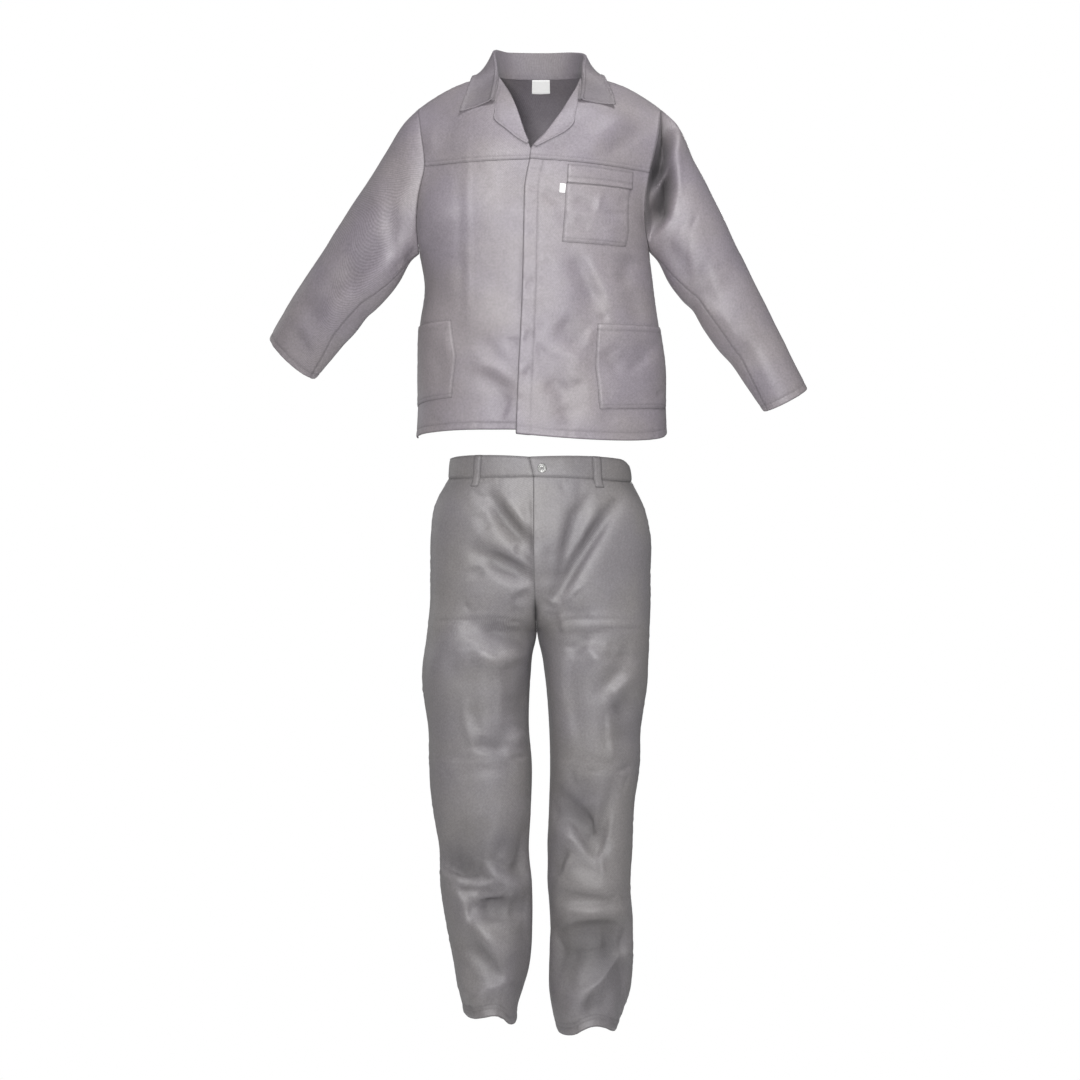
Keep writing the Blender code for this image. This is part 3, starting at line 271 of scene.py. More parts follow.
# Creases seen in the cloth: half width to each side, depth (negative is a ridge), then places as x z.
# The first half width is on the right of a line drawn downwards
creases = {
    "jacketFront": (
        (5, 13.7, -1.1, -138, -82, -138, -156, -138, -332, -136, -497),
        (9.8, 9.8, 1.4, -154, -166, -156, -332, -150, -497), (21.8, 24.6, 3.84, -43, -168, -53, -214, -55, -265),
        (5.8, 11.7, 1.6, -37, -304, -41, -429, -45, -488), (8.12, 16.4, 2.64, -47, -503, -51, -532),
        (16.4, 24.6, 5.04, -125, -569, -94, -587, -53, -616), (13.7, 13.7, -2.4, -136, -554, -88, -566, -41, -603),
        (8.12, 21.8, 3.84, -58, -610, -68, -638, -80, -669), (15.6, 15.6, 1.6, -129, -493, -98, -526, -68, -569),
        (15.6, 15.6, 1.6, -195, -517, -181, -566, -187, -624), (16.4, 13.7, 5.04, 12, -156, 39, -131, 84, -99),
        (3.1, 3.9, 1.6, -4, -150, 14, -156), (2.7, 3.1, 1.2, -8, -158, 20, -164),
        (19.2, 21.8, -4.08, 78, -150, 121, -113, 172, -62), (16.4, 16.4, 3.12, 117, -156, 160, -131, 214, -86),
        (15.6, 15.6, 1.6, -164, -62, -181, -107, -183, -146), (9.8, 11.7, -1.4, -201, -78, -211, -117, -203, -156),
        (3.9, 4.7, 1.5, -18, -189, -8, -177), (3.9, 5.1, 1.6, -20, -224, -6, -213),
        (4.3, 5.1, 1.3, -16, -252, -2, -240), (3.5, 4.7, 1.2, -25, -265, -18, -250),
        (3.5, 5.1, 1.4, -25, -318, -16, -298), (5.46, 8.12, 2.4, -28, -415, -14, -390),
        (5.46, 8.68, 2.64, -30, -519, -16, -488), (5.46, 8.68, 2.64, -31, -587, -16, -558),
        (10.9, 12.6, 3.12, 2, -226, 25, -234, 51, -250), (4.7, 4.7, 1.3, 2, -177, 8, -191),
        (9.8, 11.7, 1.8, 33, -261, 51, -281, 68, -304), (3.9, 3.9, 1.6, 0, -390, 8, -400),
        (3.9, 5.1, 1.4, -2, -429, 2, -452), (3.9, 5.8, 1.8, -2, -470, 6, -493), (5.46, 8.68, 2.4, -6, -519, 10, -544),
        (5.8, 7.8, 1.4, 10, -355, 23, -370), (19.2, 19.2, 6.24, 62, -337, 88, -396, 117, -460),
        (16.4, 16.4, -2.64, 86, -335, 113, -390, 135, -445), (16.4, 21.8, 5.28, 181, -343, 168, -374, 160, -413),
        (13.7, 16.4, 3.36, 172, -402, 183, -439, 195, -484), (21.8, 21.8, -2.64, 140, -347, 142, -400, 148, -464),
        (24.6, 24.6, 6.48, 31, -472, 58, -495, 90, -525), (13.7, 16.4, -2.4, 31, -521, 68, -542, 101, -569),
        (12.6, 5.46, -2.88, 111, -482, 96, -497, 86, -523), (8.12, 6.58, 2.64, 117, -472, 129, -464),
        (13.7, 19.2, 3.6, 12, -585, 33, -604, 60, -618), (10.9, 13.7, 2.88, 58, -603, 90, -595),
        (13.7, 19.2, 3.36, 39, -632, 51, -655, 62, -684), (2.9, 3.1, 1.4, 76, -558, 86, -567),
        (4.7, 4.7, -1.4, 14, -616, 39, -626), (13.7, 13.7, 1.8, 117, -647, 152, -671),
        (9.8, 11.7, 1.6, -214, -647, -203, -675, -211, -694),
    ),
    "pocketChest": (
        (9.36, 11.8, 3.12, 62, -240, 88, -246, 113, -255), (5.64, 6.96, -2.08, 119, -222, 113, -244, 111, -265),
        (5.64, 7.92, 2.21, 117, -265, 140, -267, 176, -265), (11.8, 11.8, 1.82, 64, -277, 98, -296),
        (14, 14, -1.69, 129, -285, 144, -324), (6.96, 9.36, 1.82, 152, -234, 172, -244),
    ),
    "pocketLowerLeft": (
        (28.1, 11.8, 5.28, 117, -526, 138, -554, 162, -575), (11.8, 28.1, 5.28, 226, -507, 197, -548, 162, -575),
        (3.9, 5.1, 1.4, 224, -620, 236, -606), (9.8, 9.8, -1.2, 129, -608, 176, -620),
    ),
    "pocketLowerRight": (
        (11.7, 11.7, 1.8, -213, -517, -193, -569, -201, -620), (7.8, 7.8, -1.2, -183, -491, -179, -546),
    ),
    "sleeveRight": (
        (24.6, 21.8, -7.2, -242, -294, -281, -339, -341, -396, -400, -435, -435, -513),
        (30, 27.3, 4.8, -265, -257, -328, -335, -400, -402, -448, -472),
        (4.9, 6.58, 2.88, -265, -357, -252, -341, -238, -324), (3.5, 3.9, 1.8, -285, -370, -273, -355, -263, -347),
        (10.9, 24.6, 5.04, -491, -480, -468, -507, -443, -542), (21.8, 24.6, 3.12, -269, -98, -279, -166, -273, -234),
        (7.8, 9.8, 1.6, -289, -78, -306, -136, -291, -140), (24.6, 24.6, 2.64, -328, -214, -367, -277),
        (5.8, 7.8, 1.6, -367, -464, -390, -499),
    ),
    "sleeveLeft": (
        (8, 18, 54, 249, -44, 259, -90, 253, -124, 238, -168, 204, -232),
        (10, 32, 64, 254, -150, 252, -212, 239, -262, 198, -312), (7, 7, -9, 222, -196, 238, -190, 254, -180),
        (9.8, 5.8, -4.5, 257, -94, 263, -166, 261, -234), (5.8, 7.8, -4, 226, -277, 211, -261),
        (5.8, 11.7, 2.6, 292, -304, 281, -339, 289, -374), (3.9, 7.8, 2, 308, -261, 298, -285, 287, -300),
        (13.7, 15.6, 2.6, 310, -355, 324, -410, 347, -452), (11.7, 13.7, -2.4, 335, -429, 363, -472, 398, -530),
        (9.8, 11.7, 1.6, 343, -355, 355, -382), (15.6, 15.6, 3, 380, -488, 413, -562, 441, -620),
        (13.7, 15.6, 4.4, 242, -308, 269, -355, 300, -413),
    ),
    "trousersFront": (
        (13.2, 14.7, 10, -96, -819, -64, -864, -18, -913), (11.7, 11.7, -3.75, -76, -807, -43, -852, -14, -881),
        (14.7, 14.7, 4, -121, -840, -109, -860, -98, -881), (5.8, 5.8, 2.2, -133, -800, -105, -825),
        (9.9, 9.9, 5.5, -49, -907, -35, -926, -18, -950), (3.1, 3.1, -2, -55, -909, -39, -899),
        (12.9, 24.9, 10.5, -115, -922, -82, -936, -49, -952, -14, -975), (14.7, 14.7, 3.75, -125, -946, -117, -975),
        (8.7, 14.7, 5.75, -66, -1020, -39, -1010, -14, -994), (5.85, 6.45, 4, -55, -1028, -43, -1037, -29, -1035),
        (5.1, 5.1, -2.4, -62, -1010, -47, -1024), (5.8, 5.8, 1.6, -148, -1018, -136, -1034),
        (23.4, 20.5, 9.5, -121, -1069, -78, -1072, -14, -1094), (3.1, 3.9, 2.2, -62, -1057, -37, -1057),
        (7.65, 19, 10.8, 150, -829, 125, -864, 101, -899, 78, -936, 43, -993, 16, -1018),
        (16, 13.2, 6.5, 94, -821, 66, -850, 53, -907, 41, -963), (5.8, 5.8, -2.4, 68, -897, 51, -952, 35, -994),
        (17.5, 17.5, 5, 12, -901, 21, -948, 21, -998), (5.85, 7.65, 4, 2, -1014, 18, -1026, 37, -1032),
        (3.5, 4.7, 2.8, 10, -1035, 21, -1043, 39, -1037), (13.2, 6.45, -4.5, 31, -1032, 45, -1053, 49, -1084),
        (5.1, 5.1, 1.8, 78, -991, 62, -1014), (4.3, 5.8, -2.2, 43, -1022, 66, -998, 84, -981),
        (11.7, 11.7, 2, 68, -1037, 98, -1049),
        (17.5, 17.5, -6.25, -129, -1084, -111, -1112, -84, -1133, -55, -1121, -27, -1098),
        (43.8, 11.7, -5.75, -74, -1143, -74, -1209, -74, -1283), (23.4, 23.4, 3.75, -47, -1190, -45, -1248),
        (14.7, 7.05, 6.25, -136, -1295, -94, -1301, -57, -1308), (14.7, 14.7, -5, -55, -1297, -43, -1279, -27, -1266),
        (3.1, 3.5, 2.4, -60, -1320, -20, -1316), (2.9, 3.9, -1.8, -68, -1303, -51, -1326, -39, -1346),
        (5.8, 4.3, -1.5, -207, -1328, -136, -1330, -62, -1330), (2.7, 3.1, 1.5, -211, -1344, -136, -1344, -47, -1342),
        (9.8, 7.8, -2.2, -152, -1190, -146, -1248, -125, -1318), (11.7, 11.7, 1.8, -136, -1209, -117, -1277),
        (15.6, 15.6, 1.6, -179, -1092, -164, -1170), (11.7, 35.1, -6.25, 45, -1092, 45, -1190, 58, -1271, 66, -1334),
        (13.5, 14.7, 5, 53, -1123, 74, -1104, 99, -1078), (23.4, 12.9, 6.5, 119, -1113, 150, -1125, 183, -1121),
        (11.7, 11.7, -2.6, 82, -1092, 101, -1112, 117, -1139),
        (12.9, 13.5, -5.25, 133, -1203, 160, -1178, 183, -1152),
        (20.5, 20.5, 6.25, 144, -1236, 168, -1213, 187, -1186), (14.7, 5.25, -4, 134, -1221, 136, -1277, 141, -1334),
        (5.85, 5.85, 4, 142, -1346, 160, -1342, 181, -1332), (3.1, 4.3, 1.6, 142, -1361, 160, -1384, 174, -1342),
        (5.8, 4.3, -1.4, 23, -1328, 74, -1332, 129, -1330), (2.7, 3.5, 1.8, 68, -1344, 98, -1344, 133, -1342),
        (29.2, 23.4, 5.25, 70, -1349, 78, -1375, 88, -1416), (4.7, 5.8, 1.8, 66, -1334, 62, -1361, 70, -1373),
        (8.7, 5.85, -4, 142, -1404, 133, -1466, 117, -1509, 123, -1560),
        (8.7, 29.2, -6, 31, -1439, 58, -1453, 86, -1474, 113, -1502),
        (20.5, 17.5, 6.5, 66, -1420, 94, -1447, 121, -1490), (11.7, 14.7, 6.75, 51, -1490, 39, -1525, 29, -1560),
        (7.05, 5.85, -4.5, 58, -1498, 43, -1540, 23, -1576),
        (8.7, 20.5, 5, 27, -1581, 78, -1591, 133, -1599, 152, -1587, 164, -1566),
        (3.9, 3.9, -2.2, 142, -1605, 152, -1591, 166, -1607),
        (26.4, 20.5, 10, 31, -1683, 78, -1658, 127, -1652, 181, -1677),
        (26.4, 17.5, -8, 183, -1702, 119, -1747, 72, -1786, 49, -1833),
        (23.4, 23.4, 6.75, 78, -1798, 117, -1802, 152, -1806), (20.5, 20.5, 4.75, 33, -1712, 45, -1751, 60, -1778),
        (11.7, 11.7, -2, 156, -1765, 136, -1817),
        (29.2, 8.7, 9.25, -191, -1523, -164, -1544, -131, -1560, -76, -1552),
        (8.7, 8.7, -4.25, -183, -1537, -156, -1560, -117, -1570, -82, -1560),
        (5.25, 7.05, 4, -160, -1576, -121, -1574, -84, -1581),
        (23.4, 23.4, 9.25, -125, -1601, -88, -1597, -49, -1603),
        (14.7, 14.7, -4.75, -84, -1507, -62, -1515, -37, -1535),
        (5.85, 12.9, -4.75, -191, -1544, -160, -1576, -142, -1611, -142, -1654),
        (7.8, 7.8, 2, -177, -1593, -164, -1622, -160, -1650),
        (17.5, 23.4, -7.75, -121, -1642, -99, -1667, -72, -1689, -35, -1712),
        (23.4, 17.5, 9.5, -168, -1669, -133, -1689, -103, -1710, -57, -1763),
        (17.5, 14.7, -5, -164, -1716, -152, -1759, -138, -1802),
        (8.7, 14.7, -5.75, -136, -1806, -121, -1782, -99, -1765, -68, -1755, -51, -1774),
        (20.5, 20.5, 4.25, -113, -1798, -78, -1790), (17.5, 17.5, 4.5, -37, -1560, -25, -1618, -29, -1696),
        (5.85, 7.65, 4, -142, -1794, -136, -1814), (19.5, 19.5, 2.6, -181, -1439, -136, -1462, -78, -1447),
        (5.8, 5.8, 1, 39, -780, 51, -811), (7.8, 7.8, 1.2, 84, -776, 70, -819), (9.8, 9.8, 1.2, 117, -803, 123, -858),
        (5.8, 9.8, 2.4, -25, -784, -23, -858, -18, -936), (76, 14, 20, -215, -1524, -150, -1540, -92, -1562),
        (64, 16, 18, -112, -1508, -74, -1522, 0, -1552), (30, 24, 13, -145, -1604, -90, -1614, 0, -1622),
        (40, 46, 30, -20, -1706, 100, -1694, 215, -1668), (56, 18, 18, 0, -1412, 70, -1452, 134, -1512),
        (40, 30, 12, 190, -1700, 120, -1755, 60, -1835), (16, 5, -3, -225, -1342, -140, -1343, -30, -1342),
        (15, 6, -3, 14, -1338, 75, -1342, 150, -1340), (26, 34, 7, 150, -1700, 172, -1750, 150, -1810),
        (24, 36, 8, -42, -1140, -34, -1210, -36, -1290), (22, 36, 8, 170, -1195, 160, -1250, 176, -1310),
        (40, 46, 6, -150, -1110, -140, -1190, -120, -1290), (34, 30, 6, 60, -1470, 90, -1520, 70, -1560),
        (4.4, 4.4, 1.3, -206, -1054, -170, -1054, -131, -1054),
        (4.4, 4.4, 1.3, 101, -1069.5, 150, -1069.5, 206, -1069.5),
    ),
    "jacketBack": (
        (12, 16, 3.4, -150, -560, -110, -470, -70, -400), (14, 12, 3.8, 140, -600, 105, -500, 64, -430),
        (9, 13, 3.6, -205, -330, -160, -290, -110, -262), (13, 9, 3.2, 200, -322, 150, -275, 96, -250),
        (8, 12, -2.2, -186, -240, -140, -216, -90, -205), (12, 8, -2, 190, -250, 146, -222, 84, -214),
        (9, 14, 2.6, -40, -640, -20, -560, -28, -480), (14, 9, 2.4, 62, -660, 48, -590, 60, -520),
        (12, 12, 1.6, -12, -90, -20, -170, -14, -260), (9, 14, 1.8, -150, -110, -90, -92, -30, -88),
        (14, 9, 1.6, 150, -118, 96, -96, 40, -92), (6, 9, 2, -120, -668, -90, -640, -60, -632),
        (6, 8, -1.8, 110, -640, 150, -622, 190, -628), (8, 12, 1.9, 30, -330, 80, -352, 130, -350),
    ),
    "collar": (
        (6, 9, 2.2, -52, 12, -50, 30, -54, 52), (8, 6, 1.6, -24, 14, -27, 36, -26, 54),
        (6, 8, 2, 34, 12, 33, 32, 37, 52),
    ),
    "trousersBack": (
        (10, 16, 6, -190, -1062, -120, -1086, -40, -1082), (16, 10, 6.4, 186, -1070, 118, -1092, 36, -1088),
        (9, 12, 3.6, -150, -850, -110, -930, -60, -990), (12, 9, 3.4, 140, -846, 104, -926, 56, -984),
    ),
}

# Stitching drawn on the trouser fronts: the fly's curve and its bar tacks, a pair of lines across each
# thigh, and one beside the side seam
trouserStitches = {
    "left": (
        ((40, -784), (40, -850), (39, -890), (33, -928), (22, -966), (8, -1001)),
        ((101, -1066.6), (150, -1066.6), (206, -1066.6)), ((101, -1072.5), (150, -1072.5), (206, -1072.5)),
        ((-5, -981), (-5, -989)), ((-3.6, -981), (-3.6, -989)), ((-3, -1004), (-3, -1012)),
        ((-1.6, -1004), (-1.6, -1012)),
    ),
    "right": (
        ((-204, -1050), (-170, -1050), (-131, -1050)), ((-204, -1058.8), (-170, -1058.8), (-131, -1058.8)),
        ((-200, -822), (-205, -900), (-206, -1008)),
    ),
}


def ease(t):
    t = np.clip(t, 0, 1)
    return t * t * (3 - 2 * t)


def readTable(rows, key):    # smooth curve through a table's rows
    table = np.array(rows, float)
    if table[0, 0] > table[-1, 0]:
        table = table[::-1]
    keys, values = table[:, 0], table[:, 1:]
    slopes = np.gradient(values, keys, axis=0)
    key = np.asarray(key, float)
    low = np.clip(np.searchsorted(keys, key) - 1, 0, len(keys) - 2)
    span = (keys[low + 1] - keys[low])[..., None]
    t = (key - keys[low])[..., None] / span
    start = (1 + 2 * t) * (1 - t) ** 2 * values[low] + t * (1 - t) ** 2 * span * slopes[low]
    return start + t * t * (3 - 2 * t) * values[low + 1] + t * t * (t - 1) * span * slopes[low + 1]


def curveThrough(points, keys, at):
    return readTable(np.column_stack((keys, points)), at)


def bezier(a, b, c, d, t):
    t = t[..., None]
    return (1 - t) ** 3 * a + 3 * (1 - t) ** 2 * t * b + 3 * (1 - t) * t * t * c + t ** 3 * d


def stack(*parts):
    return np.stack(np.broadcast_arrays(*parts), axis=-1)


def withBigFolds(points, axisX):
    depth = np.zeros(points.shape[:-1])
    for x1, z1, x2, z2, width, fold, face in bigFolds:
        line = np.array((x2 - x1, z2 - z1))
        offset = points[..., [0, 2]] - (x1, z1)
        share = np.clip(offset @ line / (line @ line), 0, 1)
        reach = np.linalg.norm(offset - share[..., None] * line, axis=-1)
        onFace = (points[..., 1] < 0) == (face == "front")
        depth += onFace * fold * np.exp(-(reach / width) ** 2) * (1 - cloth["foldTaper"] * abs(2 * share - 1))
    depth *= ease(abs(points[..., 1]) / cloth["foldEase"])
    outward = stack(0.6 * (points[..., 0] - axisX), points[..., 1], 0.0)
    length = np.maximum(np.linalg.norm(outward, axis=-1), 1)
    return points - outward * (depth / length)[..., None]


def jacketSide(side, height, back):
    plain = readTable(sideSeam[side], np.minimum(height, underarm))
    top, low, topY, lowY, frontReach, backReach = armhole[side]
    turn = np.radians(readTable(armholeTurn[side], np.maximum(height, underarm))[..., 0])
    z = (top + low) / 2 + (top - low) / 2 * np.cos(turn)
    x = readTable(armholeLine[side], z)[..., 0]
    y = lowY + (topY - lowY) * (z - low) / (top - low)
    y = y + (backReach if back else -frontReach) * np.sin(turn)
    return np.where((height <= underarm)[..., None], plain, stack(x, y, z))


# Mean of a form's rows near a height where its outline turns sharply
def smoothed(row, height, around, reach):
    reach = reach * np.exp(-((height - around) / cloth["soften"][1]) ** 2)
    return sum(weight * row(height + step * reach)
               for step, weight in ((-1, 0.11), (-0.5, 0.24), (0, 0.3), (0.5, 0.24), (1, 0.11)))


def jacketFront(side, share, height):
    share, height = np.broadcast_arrays(np.asarray(share, float), np.asarray(height, float))

    def plain(at):
        row = readTable(frontRows[side], at)
        edge = row[..., :3]
        outer = jacketSide(side, at, False)
        third = (outer[..., 2] - edge[..., 2]) / 3
        near = edge + stack(row[..., 3], row[..., 4], third + row[..., 7])
        far = outer + stack(row[..., 5], row[..., 6], -third + row[..., 7])
        return bezier(edge, near, far, outer, share)
    return withBigFolds(smoothed(plain, height, underarm, 52 * ease((1 - share) / cloth["soften"][0])), 0)


neck = {
    "halfWidth": 80,
    "share": 0.42,           # of the back's top row, from the middle to the neck's corner
    "topBlend": 170,         # the back's rows turn into the neckline over this height
    "backPull": 0.58,
}


def neckShare(reach):
    return math.asin(min(reach / neck["halfWidth"], 1)) / (math.pi / 2) * neck["share"]


def shoulderAndNeck(side, share):
    shoulder = jacketFront(side, np.clip((share - neck["share"]) / (1 - neck["share"]), 0, 1), 0)
    corner = jacketFront(side, 0, 0)
    middleY, middleZ = readTable(backRows, 0)[:2]
    turn = np.clip(share / neck["share"], 0, 1) * math.pi / 2
    curve = stack(corner[0] * np.sin(turn), corner[1] + (middleY - corner[1]) * np.cos(turn),
                  middleZ + (corner[2] - middleZ) * np.sin(turn))
    return np.where((share >= neck["share"])[..., None], shoulder, curve)


def jacketBack(side, share, height):
    share, height = np.broadcast_arrays(np.asarray(share, float), np.asarray(height, float))

    def row(at):
        y, z, sideX, sideY = np.moveaxis(readTable(backRows, at), -1, 0)
        middle = stack(0.0, y, z)
        outer = jacketSide(side, at, True)
        third = (outer[..., 2] - z) / 3
        near = middle + stack(neck["backPull"] * outer[..., 0], 0.0, third)
        far = outer + stack(-np.sign(outer[..., 0]) * sideX, sideY, -third)
        return bezier(middle, near, far, outer, share)
    blend = ease((height + neck["topBlend"]) / neck["topBlend"])[..., None] ** 2
    points = smoothed(row, height, underarm, 52 * ease((1 - share) / cloth["soften"][0]))
    return withBigFolds(points + blend * (shoulderAndNeck(side, share) - row(np.zeros_like(height))), 0)


def columnShare(side, column, height):    # share of a front's row at a column of the table above
    columns = np.array(frontColumns[side], float).T
    shares = np.array([np.interp(height, columns[0], each) for each in columns[1:]])
    return np.array([np.interp(column, range(len(shares)), each) for each in shares.T])


def sleeveForm(side, turn, share):
    turn, share = np.broadcast_arrays(np.asarray(turn, float), np.asarray(share, float))

    def ring(at):
        row = readTable(sleeveRows[side], at)
        outer, inner = stack(row[..., 0], 0.0, row[..., 1]), stack(row[..., 2], 0.0, row[..., 3])
        half = (outer - inner) / 2
        down = stack(-half[..., 2], 0.0, half[..., 0]) / np.linalg.norm(half, axis=-1, keepdims=True)
        down = down * -np.sign(down[..., 2:])
        inward = np.zeros(turn.shape)
        for where, place, middle, wide, long, depth in sleeveFolds:
            if where == side:
                inward += depth * np.exp(-((turn % 360 - middle) / wide) ** 2 - ((at - place) / long) ** 2)
        angle = np.radians(turn)
        spread = half * np.cos(angle)[..., None] + stack(0.0, -row[..., 4] * np.sin(angle), 0.0)
        spread = spread * (1 - inward / np.linalg.norm(spread, axis=-1))[..., None]
        front = down * (row[..., 6] * np.sin(angle))[..., None]
        return (outer + inner) / 2 + stack(0.0, row[..., 5], 0.0) + spread + front
    heights = np.linspace(underarm, 0, 300)
    turns = readTable(armholeTurn[side], heights)[:, 0]
    around = turn % 360
    height = np.interp(np.where(around > 180, 360 - around, around), turns[::-1], heights[::-1])
    hole = np.where((around > 180)[..., None], jacketSide(side, height, True), jacketSide(side, height, False))
    hold = np.maximum(0, 1 - share / 0.3)[..., None] ** 2
    return ring(share) + hold * (withBigFolds(hole, 0) - ring(np.zeros(turn.shape)))


# Trouser hems: share of the front's width from the inseam, then how far the edge hangs below its corners
hem = {
    "arch": 4, "reach": 90,
    "right": (
        (0, 0), (0.1, 9.5), (0.22, 10), (0.33, -0.7), (0.43, -2), (0.575, 4.5), (0.72, 10), (0.81, 10), (1, 0),
    ),
    "left": (
        (0, 0), (0.14, 11), (0.28, 14), (0.35, 12.5), (0.45, 4), (0.535, -1.5), (0.605, -2.3), (0.71, 1.8),
        (0.8, 8), (0.87, 10), (1, 1),
    ),
}


def legForm(side, share, height, back):
    share, height = np.broadcast_arrays(np.asarray(share, float), np.asarray(height, float))
    edges = readTable(legEdges[side], height)
    low = ease(1 - (height - trouserHem) / hem["reach"])

    def plain(at):
        ends = readTable(legEdges[side], at)
        pulls = readTable(legPulls, at)
        pulls = pulls[..., 3:] if back else pulls[..., :3]
        seam = readTable(centreSeam, np.maximum(at, crotch))
        seamY, seamZ = (seam[..., 3], seam[..., 4]) if back else (seam[..., 1], seam[..., 2])
        inner = np.where((at >= crotch)[..., None], stack(seam[..., 0], seamY, seamZ),
                         stack(ends[..., 1], 5.0, at + ends[..., 3]))
        outer = stack(ends[..., 0], 5.0, at + ends[..., 2])
        near = inner + stack(np.sign(ends[..., 0]) * pulls[..., 0], pulls[..., 1], hem["arch"] * low)
        far = outer + stack(0.0, pulls[..., 2], hem["arch"] * low)
        return bezier(inner, near, far, outer, share)
    points = smoothed(plain, height, crotch, 60 * ease(share / cloth["soften"][0]))
    line = hem[side] if not back else hem["left" if side == "right" else "right"]    # the back's edge is as uneven
    points[..., 2] -= low * readTable(line, np.clip(share, 0, 1))[..., 0]
    axisX = -8 + ((edges[..., 1] + edges[..., 0]) / 2 + 8) * ease((crotch - height) / 100)
    return withBigFolds(points, axisX)


band = {
    "height": 38.5,
    "rise": 5,               # how much taller it is halfway round a side
    "lean": 3,               # how far its top leans in
    "slant": -9, "slantShare": 0.2,    # sideways shift of its top at the opening, and how far that reaches
    "cornerDrop": 11, "cornerShare": 0.72,    # how far the wearer's left side sinks, and from where on
}


def bandForm(side, share, up, back):    # up is 0 at the trousers and 1 at the band's top
    share, up = np.broadcast_arrays(np.asarray(share, float), np.asarray(up, float))
    points = legForm(side, share, waist, back)
    inward = stack(points[..., 0], points[..., 1], 0.0)
    inward /= np.linalg.norm(inward, axis=-1, keepdims=True)
    points = points - inward * (band["lean"] * up)[..., None]
    points[..., 2] += (band["height"] + band["rise"] * np.sin(math.pi * share)) * up
    if side == "left":
        points[..., 2] -= band["cornerDrop"] * ease((share - band["cornerShare"]) / (1 - band["cornerShare"])) * up
    if not back:
        points[..., 0] += band["slant"] * up * np.maximum(0, 1 - share / band["slantShare"])
    return points


print("forms ready")


def waves(points, size, seed):    # uneven, repeatable swelling of the cloth, about one unit high
    seeded = np.random.default_rng(seed)
    total = np.zeros(points.shape[:-1])
    for _ in range(10):
        direction = seeded.normal(size=3)
        direction /= np.linalg.norm(direction)
        length = size * seeded.uniform(0.7, 1.5)
        total += np.sin(points @ direction * (2 * math.pi / length) + seeded.uniform(0, 2 * math.pi))
    return total / math.sqrt(10 / 2) / 1.4


def ripple(place, size, seed):    # puckers along a seam, uneven in length and height
    seeded = np.random.default_rng(seed)
    total = np.zeros(place.shape)
    for factor in (0.7, 1.0, 1.45):
        total += np.sin(place * 2 * math.pi / (size * factor) + seeded.uniform(0, 6.3)) * seeded.uniform(0.5, 1)
    swell = 0.6 + 0.4 * np.sin(place * 2 * math.pi / (size * 6.3) + seeded.uniform(0, 6.3))
    return total * swell / 1.5


def runLengths(points):    # how far each point of a line is from its start
    return np.concatenate(((0,), np.cumsum(np.linalg.norm(np.diff(points, axis=0), axis=1))))


def alongRun(values, run, at):
    return np.stack([np.interp(at, run, column) for column in values.T], axis=1)


def creaseDepth(points, lines, shift):
    depth = np.zeros(points.shape[:-1])
    x, z = points[..., 0] - shift[0], points[..., 2] - shift[1]
    for plus, minus, deep, *line in lines:
        line = np.array(line, float).reshape(-1, 2)
        steps = np.diff(line, axis=0)
        lengths = np.linalg.norm(steps, axis=1)
        before = runLengths(line)
        nearest = np.full(depth.shape, 1e9)
        width = np.zeros(depth.shape)
        place = np.zeros(depth.shape)
        for start, step, length, gone in zip(line, steps, lengths, before):
            offX, offZ = x - start[0], z - start[1]
            t = np.clip((offX * step[0] + offZ * step[1]) / length ** 2, 0, 1)
            reach = np.hypot(offX - t * step[0], offZ - t * step[1])
            closer = reach < nearest
            side = (step[0] * offZ - step[1] * offX) / (length * np.maximum(reach, 0.01))
            nearest = np.where(closer, reach, nearest)
            width = np.where(closer, minus + (plus - minus) * (0.5 + 0.5 * np.clip(side, -1, 1)), width)
            place = np.where(closer, (gone + t * length) / before[-1], place)
        taper = 0.15 + 0.85 * ease(np.minimum(place, 1 - place) / 0.34)
        depth += deep * np.exp(-(nearest / width) ** 2) * taper
    return depth


def gridNormals(grid, flip):
    normals = np.cross(np.gradient(grid, axis=1), np.gradient(grid, axis=0))
    normals /= np.maximum(np.linalg.norm(normals, axis=2, keepdims=True), 1e-9)
    return -normals if flip else normals


def lengthsAlong(grid, axis):
    steps = np.linalg.norm(np.diff(grid, axis=axis), axis=2)
    zero = np.zeros_like(steps[:1] if axis == 0 else steps[:, :1])
    return np.concatenate((zero, np.cumsum(steps, axis=axis)), axis=axis)


# Parameter values whose points lie evenly along a curve, closer beside its ends and beside stitch lines
def evenLines(curve, cell, low=True, lowLines=(), highLines=()):
    t = np.linspace(0, 1, 400)
    run = runLengths(curve(t))

    def closeLines(stitches):
        return [*cloth["edgeLines"], *[stitch + d for stitch in stitches if stitch > 9 for d in (-1.2, 0, 1.2)]]
    close = [0, run[-1], *(closeLines(lowLines) if low else ()), *[run[-1] - gap for gap in closeLines(highLines)]]
    places = np.linspace(0, run[-1], max(2, round(run[-1] / cell) + 1))
    places = places[np.abs(places[:, None] - close).min(axis=1) > cell * 0.34]
    return np.interp(np.sort(np.concatenate((places, close))), run, t)


def evenRows(form, bottom, top, cell, **lines):    # heights whose rows lie evenly up a form
    def height(t):
        return bottom + (top - bottom) * t
    return height(evenLines(lambda t: form(height(t)), cell, **lines))


